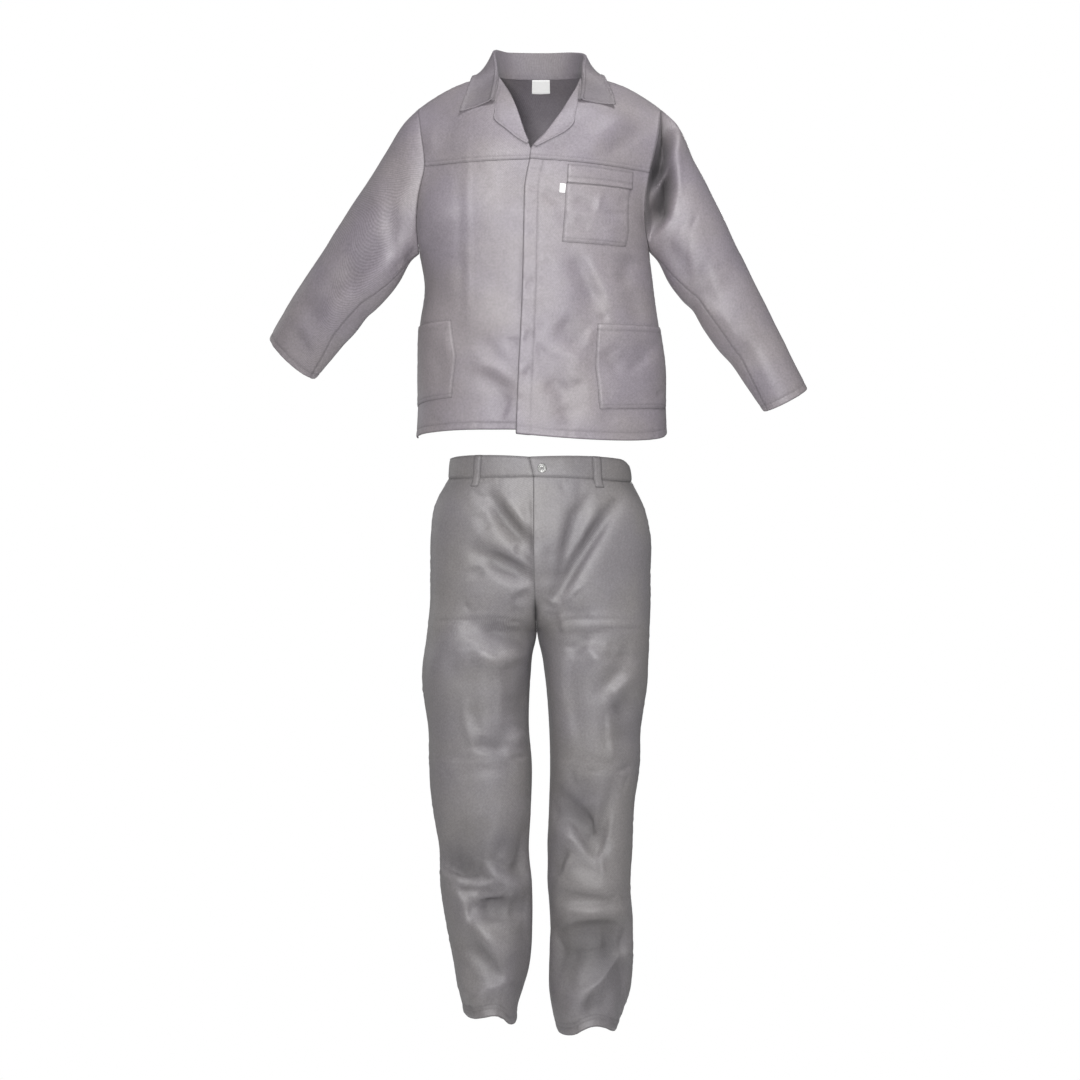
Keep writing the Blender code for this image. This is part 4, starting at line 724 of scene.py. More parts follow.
# Turns a grid, its bottom row first, into cloth: creases, unevenness, and what each edge does. Edges are
# "first" and "last" for the columns, "low" and "high" for the rows
def sewPanel(name, grid, flip, folds, edges, uneven=1.0, wall=cloth["wall"], reshape=None):
    normals = gridNormals(grid, flip)
    across, along = lengthsAlong(grid, 1), lengthsAlong(grid, 0)
    away = {"first": across, "last": across[:, -1:] - across, "low": along, "high": along[-1:] - along}
    lift = np.zeros(across.shape)
    toFront = ease(-normals[..., 1] * 2.2 - 0.1)
    toBack = ease(normals[..., 1] * 2.2 - 0.1)
    for lines, face, strength, shift in folds:
        lift -= creaseDepth(grid, lines, shift) * (toFront if face == "front" else toBack) * strength
    # painted shade in the troughs of the creases and painted light on their ridges
    wearAndShade = np.clip(lift * cloth["foldShadeAndLight"], -0.72, 0.12)
    for number, (size, height) in enumerate(cloth["waves"]):
        lift += waves(grid, size, number + 11) * height * uneven
    thick = np.zeros(across.shape) + wall
    for edge, detail in edges.items():
        if "hold" in detail:
            lift *= ease(away[edge] / detail["hold"])
    for edge, detail in edges.items():
        detail = {**plainEdge, **detail}
        gap = away[edge]
        place = along if edge in ("first", "last") else across
        lift += detail["pucker"] * np.exp(-gap / detail["spread"]) * ripple(place, detail["size"], detail["seed"])
        lift += detail["lap"] * (1 - ease(gap / detail["lapReach"]))
        lift -= detail["roll"] * np.exp(-(gap / 1.6) ** 2)
        # painted shade along every edge, standing in for the shadow in the seam's gap
        wearAndShade -= detail["shade"] * np.exp(-(gap / 1.5) ** 2)
        for stitch in detail["stitch"]:
            lift -= detail["groove"] * np.exp(-((gap - stitch) / 1.5) ** 2)
            # painted shade in the groove of each stitch line
            wearAndShade -= cloth["stitchShade"] * np.exp(-((gap - stitch) / 1.4) ** 2)
        if "thick" in detail:
            amount, reach = detail["thick"]
            thick += amount * (1 - ease((gap - reach) / 3))
        wearAndShade += detail["worn"] * cloth["paler"] * np.exp(-((gap - 3) / 2.2) ** 2)
    if reshape is not None:
        lift += reshape(across, along, away)
    points = grid + normals * lift[..., None]
    for row, nextRow in ((0, 1), (-1, -2)):
        for lines in (points, points.swapaxes(0, 1)):
            step = lines[nextRow] - lines[row]
            lines[row] += step * (cloth["inset"] / np.maximum(np.linalg.norm(step, axis=1, keepdims=True), 0.05))
    return SimpleNamespace(name=name, points=points, normals=gridNormals(points, flip), flip=flip, away=away,
                           across=across, along=along, thick=thick, wearAndShade=wearAndShade)


def newObject(name, data):
    item = bpy.data.objects.new(name, data)
    bpy.context.scene.collection.objects.link(item)
    return item


def addMesh(name, points, faces, material, uv=None, wearAndShade=None):
    mesh = bpy.data.meshes.new(name)
    mesh.from_pydata((np.asarray(points) * 0.001).tolist(), [], faces)
    mesh.materials.append(material)
    mesh.shade_smooth()
    if uv is not None:
        corners = np.empty(len(mesh.loops), int)
        mesh.loops.foreach_get("vertex_index", corners)
        layer = mesh.uv_layers.new(name="cloth")
        layer.data.foreach_set("uv", (uv[corners] * 0.001).astype(np.float32).ravel())
    if wearAndShade is not None:
        mesh.attributes.new("wearAndShade", "FLOAT", "POINT").data.foreach_set("value", wearAndShade.astype(np.float32))
    piece = newObject(name, mesh)
    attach(piece, "root")
    return piece


def clothPiece(panel, material, slot):    # closed solid: outer face, inner face, rounded rim
    outer, normals = panel.points.reshape(-1, 3), panel.normals.reshape(-1, 3)
    thick, wearAndShade = panel.thick.reshape(-1, 1), panel.wearAndShade.ravel()
    inner = outer - normals * thick
    count = len(outer)
    number = np.arange(count).reshape(panel.wearAndShade.shape)
    quads = np.stack((number[:-1, :-1], number[:-1, 1:], number[1:, 1:], number[1:, :-1]), axis=-1).reshape(-1, 4)
    loop = np.concatenate((number[0, :-1], number[:-1, -1], number[-1, :0:-1], number[:0:-1, 0]))
    if panel.flip:
        quads, loop = quads[:, ::-1], loop[::-1]
    outward = np.cross(outer[np.roll(loop, -1)] - outer[np.roll(loop, 1)], normals[loop])
    outward /= np.maximum(np.linalg.norm(outward, axis=1, keepdims=True), 1e-9)
    middle = (outer[loop] + inner[loop]) / 2 + outward * thick[loop] * 0.45
    rim = 2 * count + np.arange(len(loop))
    after, rimAfter = np.roll(loop, -1), np.roll(rim, -1)
    faces = np.concatenate((quads, quads[:, ::-1] + count, np.stack((after, loop, rim, rimAfter), axis=1),
                            np.stack((rimAfter, rim, loop + count, after + count), axis=1)))
    across = panel.across * (1 if panel.flip else -1)    # so the weave runs one way all round
    uv = np.stack((across, panel.along), axis=-1).reshape(-1, 2)
    # the inner faces carry the painted shade of insideShade
    piece = addMesh(panel.name, np.concatenate((outer, inner, middle)), faces.tolist(), material,
                    np.concatenate((uv, uv, uv[loop])),
                    np.concatenate((wearAndShade, np.full(count, cloth["insideShade"]), wearAndShade[loop])))
    return piece


def readGrid(field, row, column):
    row = np.clip(row, 0, field.shape[0] - 1.001)
    column = np.clip(column, 0, field.shape[1] - 1.001)
    r, c = row.astype(int), column.astype(int)
    u, v = (column - c)[:, None], (row - r)[:, None]
    low = field[r, c] * (1 - u) + field[r, c + 1] * u
    return low * (1 - v) + (field[r + 1, c] * (1 - u) + field[r + 1, c + 1] * u) * v


def onPanel(panel, places):    # rows and columns of a panel's grid at places given as x and z
    found = []
    flat = panel.points[..., [0, 2]]
    for place in places:
        r, c = np.unravel_index(np.argmin(((flat - place) ** 2).sum(-1)), flat.shape[:2])
        r, c = min(max(r, 1), flat.shape[0] - 2), min(max(c, 1), flat.shape[1] - 2)
        change = np.array(((flat[r, c + 1] - flat[r, c - 1]) / 2, (flat[r + 1, c] - flat[r - 1, c]) / 2)).T
        dc, dr = np.clip(np.linalg.solve(change, place - flat[r, c]), -1, 1)
        found.append((r + dr, c + dc))
    return np.array(found).T


def runOnGrid(panel, row, column):    # points and normals
    return readGrid(panel.points, row, column), readGrid(panel.normals, row, column)


def edgeRun(panel, edge, distance, start=0.0, end=1.0):    # a line beside an edge
    upright, far = edge in ("first", "last"), edge in ("last", "high")
    gaps = panel.away[edge] if upright else panel.away[edge].T
    along = np.linspace(start, end, 240) * (len(gaps) - 1)
    steps = np.arange(gaps.shape[1])
    inward = np.array([np.interp(distance, gaps[int(round(line))][::-1 if far else 1], steps) for line in along])
    if far:
        inward = steps[-1] - inward
    return runOnGrid(panel, along, inward) if upright else runOnGrid(panel, inward, along)


def bothSides(form, shares, rows):    # a grid from the left over the middle line to the right
    return np.concatenate((form("left", shares[::-1][None, :], rows),
                           form("right", shares[1:][None, :], rows)), axis=1)


def drawnRun(panel, line, step=4):    # a line through drawn places, given as x and z
    line = np.array(line, float)
    run = runLengths(line)
    at = np.linspace(0, run[-1], max(3, int(run[-1] / step)))
    return runOnGrid(panel, *onPanel(panel, alongRun(line, run, at)))


def zigzag(run, width, pitch):
    points, normals = run
    gone = runLengths(points)
    at = np.arange(pitch, gone[-1], pitch)
    middle, normal = alongRun(points, gone, at), alongRun(normals, gone, at)
    side = np.cross(normal, np.gradient(middle, axis=0))
    side /= np.linalg.norm(side, axis=1, keepdims=True)
    return middle + side * (np.where(np.arange(len(at)) % 2, 1, -1) * width / 2)[:, None], normal


thread = {"pitch": 3.3, "length": 2.5, "width": 0.62, "height": 0.3}
lozenge = np.array(((0, 1, 4), (1, 2, 4), (2, 3, 4), (3, 0, 4), (1, 0, 5), (2, 1, 5), (3, 2, 5), (0, 3, 5)))


def sewStitches(name, runs, material, slot):    # every stitch is a small raised lozenge of thread
    allPoints, allFaces = [], []
    total = 0
    for points, normals in runs:
        gone = runLengths(points)
        at = np.arange(thread["pitch"] / 2, gone[-1], thread["pitch"])
        if len(at) < 2:
            continue
        ends = [alongRun(points, gone, at + side * thread["length"] / 2) for side in (-1, 1)]
        normal = alongRun(normals, gone, at)
        normal /= np.linalg.norm(normal, axis=1, keepdims=True)
        side = np.cross(normal, ends[1] - ends[0])
        side *= thread["width"] / 2 / np.maximum(np.linalg.norm(side, axis=1, keepdims=True), 1e-6)
        middle = (ends[0] + ends[1]) / 2
        up = normal * thread["height"]
        corners = np.stack((ends[0] - up * 0.3, middle - side, ends[1] - up * 0.3, middle + side, middle + up,
                            middle - up * 0.5), axis=1).reshape(-1, 3)
        base = total + np.arange(len(at))[:, None] * 6
        allFaces += [base + face for face in lozenge]
        allPoints.append(corners)
        total += len(corners)
    piece = addMesh(name, np.concatenate(allPoints), np.concatenate(allFaces).tolist(), material)
    return piece


print("tools ready")


# Every cloth here is one twill: two close greys mixed in large soft patches, a fine diagonal weave, a nap that
# catches a little light, and paler worn edges, with painted shade and painted light from the wearAndShade attribute
twill = {
    "jacket": ((0.188, 0.166, 0.191), (0.195, 0.173, 0.183)),    # cool grey, warm grey
    "trousers": ((0.157, 0.146, 0.156), (0.163, 0.152, 0.152)),
    "lines": 185.0,          # broader diagonal lines that show from afar, every 2.4 mm
    "lineContrast": 0.26,
    "patchSize": 7.0,
    "patchContrast": 0.05,
    "ribs": 1100.0,          # with the wave texture's own factor this is a rib every 0.57 mm
    "ribDepth": 0.00009,
    "slubs": 270,            # scale of the yarn's unevenness
    "speckle": 0.17,
    "rumples": 55,
    "rumpleDepth": 0.0009,
    "roughness": 0.53,
    "gloss": 0.9,
    "sheen": 0.05,
}


def feed(tree, target, inputs):    # links a node's inputs or sets their values
    for key, value in inputs.items():
        if isinstance(value, bpy.types.NodeSocket):
            tree.links.new(value, target.inputs[key])
        else:
            target.inputs[key].default_value = value


def node(tree, kind, where, inputs=None, **values):
    made = tree.nodes.new(kind)
    made.location = where
    for key, value in values.items():
        setattr(made, key, value)
    feed(tree, made, inputs or {})
    return made


def noise(tree, where, **inputs):
    return node(tree, "ShaderNodeTexNoise", where, inputs).outputs["Fac"]


def blend(tree, where, factor, a, b):
    inputs = {"Factor": factor, "A": (*a, 1), "B": (*b, 1)}
    return node(tree, "ShaderNodeMix", where, inputs, data_type="RGBA").outputs["Result"]


def bump(tree, where, **inputs):
    return node(tree, "ShaderNodeBump", where, inputs).outputs["Normal"]


def newMaterial(name):
    material = bpy.data.materials.new(name)
    material.use_nodes = True
    return material, material.node_tree, material.node_tree.nodes["Principled BSDF"]


def greyTwill(name, colours, shade=1.0, patchSeed=0.0):
    material, tree, shader = newMaterial(name)

    def reckon(kind, where, *values):
        return node(tree, "ShaderNodeMath", where, dict(enumerate(values)), operation=kind).outputs[0]

    def diagonal(where, **inputs):
        detailScale = {"Detail Scale": inputs.pop("detailScale")} if "detailScale" in inputs else {}
        return node(tree, "ShaderNodeTexWave", where, {"Vector": place["UV"], **inputs, **detailScale},
                    bands_direction="DIAGONAL").outputs["Fac"]
    place = node(tree, "ShaderNodeTexCoord", (-1500, 0)).outputs
    moved = node(tree, "ShaderNodeMapping", (-1300, 300), {
        "Vector": place["Object"], "Location": (patchSeed, 0.3 * patchSeed, 0)}).outputs["Vector"]
    patch = noise(tree, (-1100, 400), Vector=moved, Scale=twill["patchSize"], Detail=3)
    spread = node(tree, "ShaderNodeMapRange", (-980, 250), {"Value": patch, "From Min": 0.38, "From Max": 0.62})
    cool, warm = [[c * shade for c in colour] for colour in twill[colours]]
    hue = blend(tree, (-850, 400), spread.outputs["Result"], cool, warm)
    ribs = diagonal((-1100, 0), Scale=twill["ribs"], Distortion=0.6, Detail=1)
    lines = diagonal((-1100, -150), Scale=twill["lines"], Distortion=2.5, Detail=2, detailScale=1.4)
    slub = noise(tree, (-1100, -300), Vector=place["Object"], Scale=twill["slubs"], Detail=3)
    soft = noise(tree, (-1100, -550), Vector=place["Object"], Scale=twill["rumples"], Detail=4)
    wearAndShade = node(tree, "ShaderNodeAttribute", (-1100, 700), attribute_name="wearAndShade").outputs["Fac"]
    grain = reckon("MULTIPLY_ADD", (-850, -150), slub, twill["speckle"] * 4, 1 - twill["speckle"] * 2)
    rib = reckon("MULTIPLY_ADD", (-850, 0), lines, twill["lineContrast"], 1 - twill["lineContrast"] / 2)
    cloud = reckon("MULTIPLY_ADD", (-850, 150), patch, twill["patchContrast"] * 4, 1 - twill["patchContrast"] * 2)
    # scales the colour by the wearAndShade attribute: paler worn edges, painted shade and painted light
    paler = reckon("ADD", (-850, 650), wearAndShade, 1.0)
    value = reckon("MULTIPLY", (-480, 50), reckon("MULTIPLY", (-650, -50), grain, rib),
                   reckon("MULTIPLY", (-650, 150), cloud, paler))
    tint = node(tree, "ShaderNodeVectorMath", (-300, 250), {0: hue, "Scale": value}, operation="SCALE")
    rough = reckon("MULTIPLY_ADD", (-480, -200), soft, 0.14, twill["roughness"] - 0.07)
    matt = reckon("MULTIPLY_ADD", (-320, -150), wearAndShade, -0.5, rough)    # troughs and insides shine less
    fine = bump(tree, (-300, -350), Distance=twill["ribDepth"], Strength=0.5,
                Height=reckon("ADD", (-480, -350), ribs, slub))
    rumple = bump(tree, (-120, -450), Distance=twill["rumpleDepth"], Strength=0.4, Height=soft, Normal=fine)
    feed(tree, shader, {"Base Color": tint.outputs["Vector"], "Roughness": matt, "Normal": rumple,
                        "Sheen Weight": twill["sheen"], "Sheen Roughness": 0.45,
                        "Specular IOR Level": twill["gloss"]})
    return material


label = {"colour": (0.97, 0.965, 0.96), "darker": 0.93, "weave": 900.0, "weaveDepth": 0.0001, "clouds": 160}


def wovenLabel():
    material, tree, shader = newMaterial("wovenWhiteTape")
    place = node(tree, "ShaderNodeTexCoord", (-900, 0)).outputs
    weave = node(tree, "ShaderNodeTexWave", (-700, 0), {"Vector": place["UV"], "Scale": label["weave"]},
                 bands_direction="X").outputs["Fac"]
    cloud = noise(tree, (-700, -250), Vector=place["Object"], Scale=label["clouds"])
    darker = [c * label["darker"] for c in label["colour"]]
    feed(tree, shader, {
        "Base Color": blend(tree, (-400, 100), cloud, darker, label["colour"]), "Roughness": 0.75,
        "Normal": bump(tree, (-300, -200), Distance=label["weaveDepth"], Height=weave)})
    return material


nickel = {"dark": (0.25, 0.25, 0.245), "light": (0.42, 0.42, 0.41), "marks": 420, "markDepth": 0.000015,
          "roughness": (0.28, 0.5)}


def buttonMetal():
    material, tree, shader = newMaterial("dullNickel")
    place = node(tree, "ShaderNodeTexCoord", (-900, 0)).outputs["Object"]
    marks = noise(tree, (-700, 0), Vector=place, Scale=nickel["marks"], Detail=3)
    smooth, rough = nickel["roughness"]
    dull = node(tree, "ShaderNodeMapRange", (-400, -100), {"Value": marks, "To Min": smooth, "To Max": rough})
    feed(tree, shader, {
        "Metallic": 1.0, "Base Color": blend(tree, (-400, 150), marks, nickel["dark"], nickel["light"]),
        "Roughness": dull.outputs["Result"],
        "Normal": bump(tree, (-200, -250), Distance=nickel["markDepth"], Height=marks)})
    return material


jacketCloth = greyTwill("greyJacketTwill", "jacket"), "jacket_cloth"
trouserCloth = greyTwill("greyTrouserTwill", "trousers", 1.0, 2.7), "trouser_cloth"
greyThread = greyTwill("greySewingThread", "jacket", 0.8)
whiteTape = wovenLabel(), "label_cloth"
dullNickel = buttonMetal()
print("finishes ready")


frontCreases = sum((creases[key] for key in
                    ("jacketFront", "pocketChest", "pocketLowerLeft", "pocketLowerRight")), ())
onJacketFront = [(frontCreases, "front", 1.0, (0, 0))]


def sewn(panel, finish, cut, nodes, runs=()):    # cut is width, length and flat area; it is not used
    material, slot = finish
    piece = clothPiece(panel, material, slot)
    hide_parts(*nodes)
    extras = [sewStitches(panel.name + "Stitches", runs, greyThread, slot)] if runs else []


jacketFrontCut = {
    "left": {"cut": (0.36, 0.56, 0.168), "placketStitch": 26, "hemStitch": 14.5},
    "right": {"cut": (0.30, 0.56, 0.147), "hemStitch": 13},
}


def makeJacketFront(side):
    sizes = jacketFrontCut[side]
    heights = evenRows(lambda z: jacketFront(side, 0.45, z), jacketHem, yokeSeam, cloth["cell"],
                       lowLines=(sizes["hemStitch"],))
    shares = evenLines(lambda t: jacketFront(side, t, -430), cloth["cell"], lowLines=(sizes.get("placketStitch", 0),))
    grid = jacketFront(side, shares[None, :], heights[:, None])
    edges = {
        "low": {"thick": (1.1, 14), "stitch": (sizes["hemStitch"],), "worn": 0.8, "pucker": 0.7, "size": 26,
                "spread": 16},
        "high": {"pucker": 0.4, "roll": 0.8},
        "last": {"hold": 9, "pucker": 0.5, "roll": 0.7, "seed": 5},
        "first": {"roll": 0.2, "pucker": 0.2},
    }
    if side == "left":
        edges["first"] = {"thick": (1.8, 26), "stitch": (sizes["placketStitch"],), "lap": 0.7, "lapReach": 26,
                          "pucker": 0.8, "size": 33, "spread": 18, "worn": 0.6, "roll": 0.4, "seed": 9, "groove": 0.6}
    panel = sewPanel("jacketFront" + side.title(), grid, side == "right", onJacketFront, edges)
    runs = [edgeRun(panel, "low", sizes["hemStitch"])]
    nodes = ["front_lower_" + side]
    if side == "left":
        runs.append(edgeRun(panel, "first", sizes["placketStitch"]))
        nodes.append("placket")
    sewn(panel, jacketCloth, sizes["cut"], nodes, runs)


yokeCut = {"cut": (0.26, 0.21, 0.041), "lap": 2.5, "stitch": (2.4, 8.4), "shoulderStitch": (2.2, 8.0)}


def makeYoke(side):
    low = yokeSeam - yokeCut["lap"]
    heights = evenRows(lambda z: jacketFront(side, 0.5, z), low, 0, cloth["cell"])
    shares = evenLines(lambda t: jacketFront(side, t, -90), cloth["cell"])
    grid = jacketFront(side, shares[None, :], heights[:, None])
    edges = {
        "low": {"lap": 1.3, "stitch": yokeCut["stitch"], "thick": (0.6, 9), "pucker": 0.55,
                "roll": 0.3, "worn": 0.35, "size": 13},
        "high": {"stitch": yokeCut["shoulderStitch"], "pucker": 0.4},
        "last": {"hold": 10, "pucker": 0.5, "roll": 0.7, "seed": 6},
        "first": {"pucker": 0.2, "roll": 0.1},
    }
    panel = sewPanel("yoke" + side.title(), grid, side == "right", onJacketFront, edges)
    runs = [edgeRun(panel, "low", d) for d in yokeCut["stitch"]]
    runs += [edgeRun(panel, "high", d) for d in yokeCut["shoulderStitch"]]
    sewn(panel, jacketCloth, yokeCut["cut"], ["front_yoke_" + side], runs)


jacketBackCut = {"cut": (0.60, 0.74, 0.392), "hemStitch": 14.5, "hemRise": 13}


def makeJacketBack():
    heights = evenRows(lambda z: jacketBack("left", 0.5, z), jacketHem, 0, cloth["backCell"],
                       lowLines=(jacketBackCut["hemStitch"],))[:, None]
    half = evenLines(lambda t: jacketBack("left", t, -300), cloth["backCell"], low=False)
    half[np.argmin(abs(half - neck["share"]))] = neck["share"]
    rows = heights + jacketBackCut["hemRise"] * ease(1 - (heights - jacketHem) / 200) * (1 - half[None, :] ** 6)
    left = jacketBack("left", half[::-1][None, :], rows[:, ::-1])
    right = jacketBack("right", half[1:][None, :], rows[:, 1:])
    edges = {
        "low": {"thick": (1.1, 14), "stitch": (jacketBackCut["hemStitch"],), "worn": 0.8, "pucker": 0.7, "size": 28,
                "spread": 16},
        **dict.fromkeys(("first", "last"), {"hold": 9, "pucker": 0.5, "roll": 0.7, "seed": 5}),
        "high": {"hold": 8, "pucker": 0.3},
    }
    panel = sewPanel("jacketBack", np.concatenate((left, right), axis=1), False,
                     [(creases["jacketBack"], "back", 1.0, (0, 0))], edges)
    runs = [edgeRun(panel, "low", jacketBackCut["hemStitch"])]
    sewn(panel, jacketCloth, jacketBackCut["cut"], ["back"], runs)


sleeveCut = {
    "cut": (0.45, 0.60, 0.130), "underCut": (0.22, 0.56, 0.068), "cuffStitch": 12, "seamStitch": 2.4,
    "cell": cloth["cell"] * 1.12,
    "backSeam": 290,         # degrees round, and the front seam: share of the length, degrees round
    "frontSeam": ((0, 178), (0.25, 152), (0.45, 138), (0.65, 129), (0.85, 138), (1, 150)),
    "echoes": ((0.8, (14, -22)), (-0.5, (-10, -75))),    # strength and shift of the creases on the back
}


def makeSleeve(side, under):    # the upper piece runs over the top from the back seam to the front one
    cell = sleeveCut["cell"]
    shares = evenLines(lambda t: sleeveForm(side, 60, t), cell, highLines=(sleeveCut["cuffStitch"],))
    seam = readTable(sleeveCut["frontSeam"], shares)
    back = np.full(seam.shape, sleeveCut["backSeam"], float)
    start, end = (seam, back) if under else (back - 360, seam)
    middle = [np.interp(0.5, shares, each[:, 0]) for each in (start, end)]
    t = evenLines(lambda t: sleeveForm(side, middle[0] + (middle[1] - middle[0]) * t, 0.5), cell)
    grid = sleeveForm(side, start + (end - start) * t[None, :], shares[:, None])
    lines = creases["sleeve" + side.title()]
    hidden = [row for row in lines if abs(row[2]) < 20]
    edges = {
        "low": {"hold": 6 if side == "left" else 11, "pucker": 0.6, "roll": 0.8, "seed": 6, "size": 17},
        "high": {"thick": (1.0, 12), "stitch": (sleeveCut["cuffStitch"],), "worn": 0.9, "pucker": 0.6, "size": 21},
        "first": {"pucker": 0.5, "roll": 0.7, "seed": 8 if under else 9},
        "last": {"pucker": 0.5, "roll": 0.7, "seed": 9 if under else 8,
                 "stitch": () if under else (sleeveCut["seamStitch"],)},
    }
    folds = [(lines, "front", 1.0, (0, 0))] + [(hidden, "back", *echo) for echo in sleeveCut["echoes"]]
    panel = sewPanel(("underSleeve" if under else "sleeve") + side.title(), grid, side == "right", folds, edges)
    runs = [edgeRun(panel, "high", sleeveCut["cuffStitch"])]
    runs += [] if under else [edgeRun(panel, "last", sleeveCut["seamStitch"])]
    sewn(panel, jacketCloth, sleeveCut["underCut" if under else "cut"],
         [("undersleeve_" if under else "sleeve_") + side], runs)


collarShape = {
    "cut": (0.52, 0.125, 0.049), "cell": 3.6, "fold": 2.5, "belly": 3.0, "lift": 5.2, "paintedFallLight": 0.25,
    "stitch": 4.2, "neckStitch": 6.5, "endShare": 0.55,
    "neckReach": {"left": (19.5, 50, 72, 80), "right": (15.6, 45, 70, 80)},
}


def findOnFront(side, x, z):    # share and height of the front at places seen from the front
    x, z = np.broadcast_arrays(np.asarray(x, float), np.asarray(z, float))
    share, height = np.full(x.shape, 0.3), np.clip(z, yokeSeam, -0.5)
    for _ in range(14):
        here = jacketFront(side, share, height)
        byShare = (jacketFront(side, share + 0.01, height) - here) / 0.01
        byHeight = here - jacketFront(side, share, height - 1)
        missX, missZ = x - here[..., 0], z - here[..., 2]
        size = byShare[..., 0] * byHeight[..., 2] - byHeight[..., 0] * byShare[..., 2]
        share = np.clip(share + (missX * byHeight[..., 2] - byHeight[..., 0] * missZ) / size, -0.1, 0.95)
        height = np.clip(height + (byShare[..., 0] * missZ - missX * byShare[..., 2]) / size, yokeSeam, -0.5)
    return share, height


def frontPlace(side, x, z, lift=0.0):
    share, height = findOnFront(side, x, z)
    here = jacketFront(side, share, height)
    normal = np.cross(jacketFront(side, share + 0.01, height) - here, here - jacketFront(side, share, height - 1))
    normal /= np.linalg.norm(normal, axis=-1, keepdims=True)
    return here + normal * (-np.sign(normal[..., 1:2]) * lift)


def collarStations():
    def placed(side, x, y, z):
        return frontPlace(side, x, z, collarShape["lift"]) if y is None else np.array((x, y, z), float)
    reach = collarShape["neckReach"]
    stations = [[placed("right", *p) for p in row] for row in collarEnds["right"]]
    seams = [shoulderAndNeck("right", np.array(neckShare(x))) for x in reach["right"][::-1]]
    seams += [shoulderAndNeck("left", np.array(neckShare(x))) for x in reach["left"]]
    stations += [[seam, *np.array(row, float)] for seam, row in zip(seams, collarBack)]
    return np.array(stations + [[placed("left", *p) for p in row] for row in collarEnds["left"][::-1]])


def makeCollar():
    stations = collarStations()
    outline = stations[:, 2]
    keys = runLengths(stations.mean(axis=1))
    at = keys[-1] * evenLines(lambda t: curveThrough(outline, keys, keys[-1] * t), collarShape["cell"])
    seam, roll, edge = [curveThrough(stations[:, i], keys, at) for i in range(3)]
    out = edge - seam
    out[:, 2] = 0
    out /= np.linalg.norm(out, axis=1, keepdims=True)
    up = np.array((0, 0, 1.0))
    fold = collarShape["fold"]
    inside, outside = roll - out * fold, roll + out * fold
    columns = []
    for t in np.concatenate(((0, 0.03, 0.09), np.linspace(0.16, 0.96, 9))):
        columns.append(seam + (inside - seam) * t)
    for turn in np.radians((0, 30, 60, 90, 120, 150, 180)):
        columns.append(roll - out * fold * math.cos(turn) + up * fold * math.sin(turn))
    fall = edge - outside
    lean = np.cross(fall, np.gradient(edge, axis=0))
    lean /= np.linalg.norm(lean, axis=1, keepdims=True)
    for t in np.concatenate((np.linspace(0.05, 0.86, 16), (0.9, 0.93, 0.96, 0.985, 1))):
        columns.append(outside + fall * t + lean * collarShape["belly"] * math.sin(math.pi * t) * (1 if t < 1 else 0))
    grid = np.stack(columns, axis=1)
    edges = {
        "last": {"stitch": (collarShape["stitch"],), "thick": (0.9, 4), "worn": 1.0, "roll": 0.4,
                 "groove": 0.35},
        **dict.fromkeys(("low", "high"), {"thick": (0.9, 4), "worn": 1.0, "roll": 0.3, "pucker": 0.2,
                                          "stitch": (collarShape["stitch"],)}),
        "first": {"pucker": 0.3, "roll": 0.2, "lap": 1.4, "lapReach": 9, "stitch": (collarShape["neckStitch"],),
                  "worn": 1.4},
    }
    panel = sewPanel("jacketCollar", grid, False, [(creases["collar"], "front", 1.0, (0, 0))], edges, uneven=0.35)
    panel.wearAndShade += np.interp(np.arange(grid.shape[1]), (13, 17), (0, collarShape["paintedFallLight"]))    # painted light: a paler fall
    runs = [edgeRun(panel, "last", collarShape["stitch"]), edgeRun(panel, "first", collarShape["neckStitch"])]
    runs += [edgeRun(panel, end, collarShape["stitch"], collarShape["endShare"]) for end in ("low", "high")]
    sewn(panel, jacketCloth, collarShape["cut"], ["collar"], runs)


lapelShape = {"cut": (0.065, 0.17, 0.0050), "cell": 3.4, "tuck": 1.8, "stitch": 4.2, "fold": 4.2, "sunk": 0.9}


def makeLapel(side):
    rows = np.array(lapelRows[side], float)
    keys = runLengths(rows[:, 0])
    at = keys[-1] * evenLines(lambda t: curveThrough(rows[:, 0], keys, keys[-1] * t), lapelShape["cell"])
    roll, edge = curveThrough(rows[:, 0], keys, at), curveThrough(rows[:, 1], keys, at)
    width = np.linalg.norm(edge - roll, axis=1, keepdims=True)
    tuck = (roll - edge) / width * lapelShape["tuck"]
    shares = np.concatenate((np.linspace(0, 0.1, 6), np.linspace(0.16, 0.9, 12), (0.94, 0.97, 1)))
    places = (roll + tuck)[:, None] + (edge - roll - tuck)[:, None] * shares[None, :, None]
    grid = frontPlace(side, places[..., 0], places[..., 1])

    def lay(across, along, away):
        rolled = np.sqrt(1 - (1 - np.clip(away["first"] / lapelShape["fold"], 0, 1)) ** 2)
        return lapelShape["fold"] * rolled - lapelShape["sunk"] - 0.8 * ease(away["first"] / 30)
    edges = {
        "last": {"stitch": (lapelShape["stitch"],), "worn": 0.9, "pucker": 0.3, "roll": 0.4},
        "first": {"worn": 0.4, "roll": 0, "pucker": 0.4, "size": 24},
        "high": {"worn": 0.8, "roll": 0.3, "pucker": 0.1, "stitch": (lapelShape["stitch"],)},
        "low": {"roll": 0.2, "pucker": 0.1},
    }
    panel = sewPanel("lapel" + side.title(), grid, side == "right", onJacketFront, edges, reshape=lay)
    runs = [edgeRun(panel, edge, lapelShape["stitch"], start, end)
            for edge, start, end in (("last", 0.05, 0.97), ("high", 0.2, 0.95))]
    sewn(panel, jacketCloth, lapelShape["cut"],
         ["lapel_" + side], runs)


